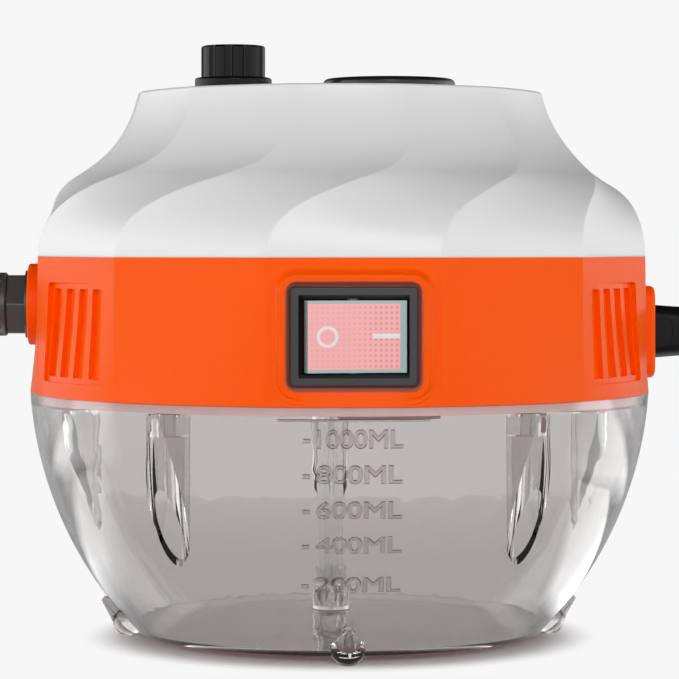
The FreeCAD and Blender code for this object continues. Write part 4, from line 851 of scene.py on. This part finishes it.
# %% Outline of the bowl
bowl_rim = (89.8 * MM, 71.3 * MM)
bowl_base = (59.1 * MM, 2.2 * MM)
bowl_arc = 109.3 * MM
chord = Vector((bowl_rim[0] - bowl_base[0], bowl_rim[1] - bowl_base[1]))
half_way = Vector(((bowl_rim[0] + bowl_base[0]) / 2, (bowl_rim[1] + bowl_base[1]) / 2))
to_centre = Vector((-chord.y, chord.x)).normalized()
arc_centre = half_way + to_centre * math.sqrt(bowl_arc ** 2 - (chord.length / 2) ** 2)


def on_bowl(across, height, lift):
    """Point on the front of the bowl, `across` metres to the right of the middle, lifted off the wall."""
    reach = math.sqrt(bowl_arc ** 2 - (height - arc_centre.y) ** 2)
    radius = arc_centre.x + reach + lift * reach / bowl_arc
    angle = across / radius
    rise = height + lift * (height - arc_centre.y) / bowl_arc
    return Vector((radius * math.sin(angle), -radius * math.cos(angle), rise))


print("outline's centre", [round(value / MM, 1) for value in arc_centre], "mm")

# %% [markdown]
# The built-in font is used. The curve's own bevel would fold over itself in the sharp corners of an M, so
# the flat letter is filled first, and a skirt is put round it: each corner goes outwards along the mean of
# its two edges, with a limit for sharp ones. The sloping skirt bends the light and draws each letter as a
# thin outline. The lines of the scale are bars with a chamfer.

# %% Raised letters and lines
letter_height = 5.2 * MM
letter_lift = 0.5 * MM
letter_relief = 0.14 * MM
letter_skirt = 0.036
sharpest_spread = 0.6
sunk = 0.05 * MM
bar_chamfer = 0.2 * MM
bar_sunk = 0.1 * MM
letter_weld = 0.0001
scale_weld = 0.001 * MM
scale_left = -9.3 * MM
scale_width = 22.9 * MM
dash_left = -12.9 * MM
dash_width = 2.0 * MM
dash_height = 1.2 * MM
full_line_rise = 67.5 * MM
full_line_width = 40.6 * MM
full_line_height = 0.7 * MM
full_line_left = -19.7 * MM
scale_marks = (("1000ML", 62.5 * MM), ("800ML", 53.1 * MM), ("600ML", 43.6 * MM), ("400ML", 34.0 * MM),
               ("200ML", 22.9 * MM))


def outward(v):
    """Direction in which an outline's corner moves when the outline grows by one."""
    normals = []
    for edge in v.link_edges:
        if edge.is_boundary:
            along = (edge.verts[1].co - edge.verts[0].co).normalized()
            out = Vector((along.y, -along.x, 0))
            inside = edge.link_faces[0].calc_center_median() - edge.verts[0].co
            normals.append(-out if out.dot(inside) > 0 else out)
    return sum(normals, Vector()) / max(sharpest_spread, 1 + normals[0].dot(normals[-1]))


def relief_text(words):
    """Solid letters in a mesh: a flat front at Z 1 with a sloping skirt down to the back at Z 0."""
    data = bpy.data.curves.new(words, "FONT")
    data.body = words
    holder = bpy.data.objects.new(words, data)
    bpy.context.scene.collection.objects.link(holder)
    flat = bpy.data.meshes.new_from_object(holder.evaluated_get(bpy.context.evaluated_depsgraph_get()))
    bpy.data.objects.remove(holder)
    mesh = bmesh.new()
    mesh.from_mesh(flat)
    bpy.data.meshes.remove(flat)
    bmesh.ops.remove_doubles(mesh, verts=mesh.verts, dist=letter_weld)
    outline = [edge for edge in mesh.edges if edge.is_boundary]
    corners = {v for edge in outline for v in edge.verts}
    grown_to = {v: v.co + outward(v) * letter_skirt for v in corners}
    front = bmesh.ops.duplicate(mesh, geom=mesh.verts[:] + mesh.edges[:] + mesh.faces[:])["vert_map"]
    foot = {v: mesh.verts.new(place) for v, place in grown_to.items()}
    for v in corners:
        front[v].co.z = 1.0
    for edge in outline:
        a, b = edge.verts
        mesh.faces.new((a, b, foot[b], foot[a]))
        mesh.faces.new((foot[a], foot[b], front[b], front[a]))
    bmesh.ops.recalc_face_normals(mesh, faces=mesh.faces)
    return mesh


def raised_bar(mesh, left, width, low, height, relief):
    """Bar with a chamfered edge, wrapped on the bowl."""
    steps = max(2, round(width / MM))
    rings = []
    for lift, inset in ((-bar_sunk, 0.0), (relief - bar_chamfer, 0.0), (relief, bar_chamfer)):
        bottom = [(left + inset + (width - 2 * inset) * i / steps, low + inset) for i in range(steps + 1)]
        top = [(x, low + height - inset) for x, y in reversed(bottom)]
        rings.append([mesh.verts.new(on_bowl(x, y, lift)) for x, y in bottom + top])
    count = len(rings[0])
    for lower, upper in zip(rings, rings[1:]):
        for i in range(count):
            mesh.faces.new((lower[i], lower[(i + 1) % count], upper[(i + 1) % count], upper[i]))
    for row, order in ((rings[-1], 1), (rings[0], -1)):
        for i in range(steps):
            face = (row[i], row[i + 1], row[count - 2 - i], row[count - 1 - i])
            mesh.faces.new(face[::order])


marks = bmesh.new()
for words, rise in scale_marks:
    word = relief_text(words)
    lows = Vector([min(v.co[i] for v in word.verts) for i in range(3)])
    highs = Vector([max(v.co[i] for v in word.verts) for i in range(3)])
    upright = math.sqrt(1 - ((rise - arc_centre.y) / bowl_arc) ** 2)
    across = scale_width / (highs.x - lows.x)
    up = letter_height * upright / (highs.y - lows.y)
    for v in word.verts:
        rise_of_point = rise + letter_lift + (v.co.y - (lows.y + highs.y) / 2) * up
        v.co = on_bowl(scale_left + (v.co.x - lows.x) * across, rise_of_point,
                       v.co.z * (letter_relief + sunk) - sunk)
    flat = bpy.data.meshes.new(words)
    word.to_mesh(flat)
    word.free()
    marks.from_mesh(flat)
    bpy.data.meshes.remove(flat)
    raised_bar(marks, dash_left, dash_width, rise - dash_height / 2, dash_height, letter_relief)
raised_bar(marks, full_line_left, full_line_width, full_line_rise, full_line_height, letter_relief)
bmesh.ops.remove_doubles(marks, verts=marks.verts, dist=scale_weld)
tank_scale = as_piece("tank_scale", marks, bowl_clear)
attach(tank_scale, "base_unit")

# %% [markdown]
# ## Floor, backdrop and light
#
# The floor and what is behind it are one pale tone, so the object stands free. A plain white floor that is
# lit would go grey with distance. Here a camera ray and a bent one see a fixed pale tone away from the
# object, and near the object they see the lit floor, so the shadow stays. What the bowl shows of the floor
# behind it is a little greyer for some way back, so that the bowl doesn't melt into white. A mirror ray
# sees a greyer floor with white cards lying on it, two on each side. They give the broad bright streaks on
# the flanks of the bowl, and no other ray sees them.

# %% Floor
backdrop_tone = 0.93
floor_reach = 4.0
floor_white = 0.86
shadow_start = 0.058
shadow_end = 0.076
bent_near_tone = 0.67
bent_far_tone = 0.79
bent_near = 0.18
bent_far = 0.41
mirror_tone = 0.45
# left, right, front and back of each card and the width of its soft edge in metres, then its tone
mirror_cards = ((0.066, 0.19, -0.03, 0.07, 0.012, 2.6), (-0.22, -0.07, -0.03, 0.07, 0.03, 1.9),
                (0.16, 0.9, -0.06, 0.2, 0.05, 2.4), (-0.9, -0.19, -0.06, 0.2, 0.05, 2.0))


def card(tree, left, right, front, back, edge, tone):
    """Tone of a card on the floor, falling to nothing over its edge's width."""
    place = add(tree, "ShaderNodeSeparateXYZ", {"Vector": coordinates(tree)}).outputs
    tones = []
    for axis, low, high in (("X", left, right), ("Y", front, back)):
        across = maths(tree, "ABSOLUTE", maths(tree, "SUBTRACT", place[axis], (low + high) / 2))
        half = (high - low) / 2
        tones.append(ramp(tree, across, half - edge, half, 1.0, 0.0))
    return maths(tree, "MULTIPLY", maths(tree, "MULTIPLY", *tones), tone)


def mirrored_tone(tree):
    """What a mirror ray sees of the floor."""
    brightest = 0.0
    for sizes in mirror_cards:
        brightest = maths(tree, "MAXIMUM", card(tree, *sizes), brightest)
    return maths(tree, "ADD", brightest, mirror_tone)


def bent_tone(tree, distance):
    """What a ray that went through the bowl sees of the floor."""
    near = ramp(tree, distance, bent_near, bent_far, bent_near_tone, bent_far_tone)
    beyond = maths(tree, "GREATER_THAN", distance, bent_far)
    return add(tree, "ShaderNodeMix", {0: beyond, 2: near, 3: backdrop_tone}).outputs[0]


def floor_material():
    """Lit near the object, a fixed pale tone further out."""
    material, tree, output = new_material("floor")
    length = add(tree, "ShaderNodeVectorMath", {0: coordinates(tree)}, operation="LENGTH")
    distance = length.outputs["Value"]
    away = ramp(tree, distance, shadow_start, shadow_end, 0.0, 1.0, interpolation_type="SMOOTHSTEP")
    path = add(tree, "ShaderNodeLightPath").outputs
    bent = path["Is Transmission Ray"]
    mirror = maths(tree, "MULTIPLY", path["Is Glossy Ray"], maths(tree, "SUBTRACT", 1.0, bent))
    tone = add(tree, "ShaderNodeMix", {0: mirror, 2: backdrop_tone, 3: mirrored_tone(tree)}).outputs[0]
    tone = add(tree, "ShaderNodeMix", {0: bent, 2: tone, 3: bent_tone(tree, distance)}).outputs[0]
    shown = add(tree, "ShaderNodeEmission", {"Color": (1, 1, 1, 1), "Strength": tone}).outputs[0]
    white = (floor_white, floor_white, floor_white, 1)
    lit = add(tree, "ShaderNodeBsdfDiffuse", {"Color": white}).outputs[0]
    pale = maths(tree, "MAXIMUM", path["Is Camera Ray"], bent)
    factor = maths(tree, "MAXIMUM", maths(tree, "MULTIPLY", away, pale), mirror)
    mix = add(tree, "ShaderNodeMixShader", {0: factor, 1: lit, 2: shown})
    tree.links.new(mix.outputs[0], output.inputs["Surface"])
    return material


floor_mesh = bpy.data.meshes.new("floor")
corners = [(x * floor_reach, y * floor_reach, 0) for x, y in ((-1, -1), (1, -1), (1, 1), (-1, 1))]
floor_mesh.from_pydata(corners, [], [(0, 1, 2, 3)])
floor = bpy.data.objects.new("floor", floor_mesh)
bpy.context.scene.collection.objects.link(floor)
floor_mesh.materials.append(floor_material())
print("floor with", len(mirror_cards), "cards for mirrors")

# %% [markdown]
# The world is the wide, soft part of the light: a bright band along the horizon, strongest at the left and
# the right, weaker in front, and dark behind and overhead. Faces that lean back look up into the dark, and
# that is why they go grey while the upright ones stay white.

# %% Light of the world
left_light = 4.0
right_light = 2.85
front_light = 2.07
front_end = -0.05
back_start = 0.05
light_low = 0.1
light_high = 0.6

world = bpy.data.worlds.new("studio")
bpy.context.scene.world = world
world.use_nodes = True
sky = world.node_tree
sky.nodes.clear()
seen_from_middle = add(sky, "ShaderNodeTexCoord").outputs["Generated"]
direction = add(sky, "ShaderNodeSeparateXYZ", {"Vector": seen_from_middle}).outputs
low = ramp(sky, direction["Z"], light_low, light_high, 1.0, 0.0, interpolation_type="SMOOTHSTEP")
sideways = maths(sky, "MULTIPLY", direction["X"], direction["X"])
from_sides = ramp(sky, direction["X"], -1.0, 1.0, left_light, right_light)
from_front = ramp(sky, direction["Y"], front_end, back_start, front_light, 0.0)
strength = add(sky, "ShaderNodeMix", {0: sideways, 2: from_front, 3: from_sides}).outputs[0]
strength = maths(sky, "MULTIPLY", strength, low)
light = add(sky, "ShaderNodeBackground", {"Color": (1, 1, 1, 1), "Strength": strength}).outputs[0]
print("light of the world set")

# %% [markdown]
# The camera sees a pale backdrop straight behind. A ray that the bowl bends sees it too, with bright
# panels on both sides of it and darker flags further round: the panels draw the bright lines in clear
# plastic, the flags the dark ones.

# %% What the camera and the bowl see
panel_tone = 1.9
panel_end = 0.74
backdrop_start = 0.92
flag_share = 0.4
flag_end = 0.3

panels = ramp(sky, direction["Y"], panel_end, backdrop_start, panel_tone, backdrop_tone,
              interpolation_type="SMOOTHSTEP")
flags = ramp(sky, direction["Y"], 0.0, flag_end, flag_share, 1.0, interpolation_type="SMOOTHSTEP")
around = maths(sky, "MULTIPLY", panels, flags)
path = add(sky, "ShaderNodeLightPath").outputs
tone = add(sky, "ShaderNodeMix", {0: path["Is Camera Ray"], 2: around, 3: backdrop_tone}).outputs[0]
shown = add(sky, "ShaderNodeBackground", {"Color": (1, 1, 1, 1), "Strength": tone}).outputs[0]
seen = maths(sky, "MAXIMUM", path["Is Camera Ray"], path["Is Transmission Ray"])
both = add(sky, "ShaderNodeMixShader", {0: seen, 1: light, 2: shown})
sky_output = sky.nodes.new("ShaderNodeOutputWorld")
sky.links.new(both.outputs[0], sky_output.inputs["Surface"])
print("backdrop, panels and flags set")

# %% [markdown]
# One softbox in front, above the camera, draws the small highlights on the knob, the cap and the switch.
# A second one stands high behind the object. It lights the crown and the back, for the views from there,
# and hardly anything that faces the camera. Mirrors and glass don't show it, so it puts no square
# highlight into the bowl.

# %% Lamps
object_middle = (0, 0, 90 * MM)


def softbox(name, place, aim, width, height, power):
    """Rectangular lamp aimed at a point."""
    data = bpy.data.lights.new(name, "AREA")
    data.shape = "RECTANGLE"
    data.size = width
    data.size_y = height
    data.energy = power
    lamp = bpy.data.objects.new(name, data)
    bpy.context.scene.collection.objects.link(lamp)
    lamp.location = place
    lamp.rotation_euler = (Vector(aim) - Vector(place)).to_track_quat("-Z", "Y").to_euler()
    return lamp


softbox("lamp_front", (0.1, -1.7, 0.7), object_middle, width=0.9, height=0.6, power=6.5)
lamp_back = softbox("lamp_back", (0, 1.9, 1.2), object_middle, width=1.2, height=0.8, power=15)
lamp_back.visible_glossy = False
lamp_back.visible_transmission = False
print("lamps set")

# %% [markdown]
# ## Last steps
#
# The colours are shown as they are written, so the view transform is Standard.

# %% Colours
bpy.context.scene.view_settings.view_transform = "Standard"
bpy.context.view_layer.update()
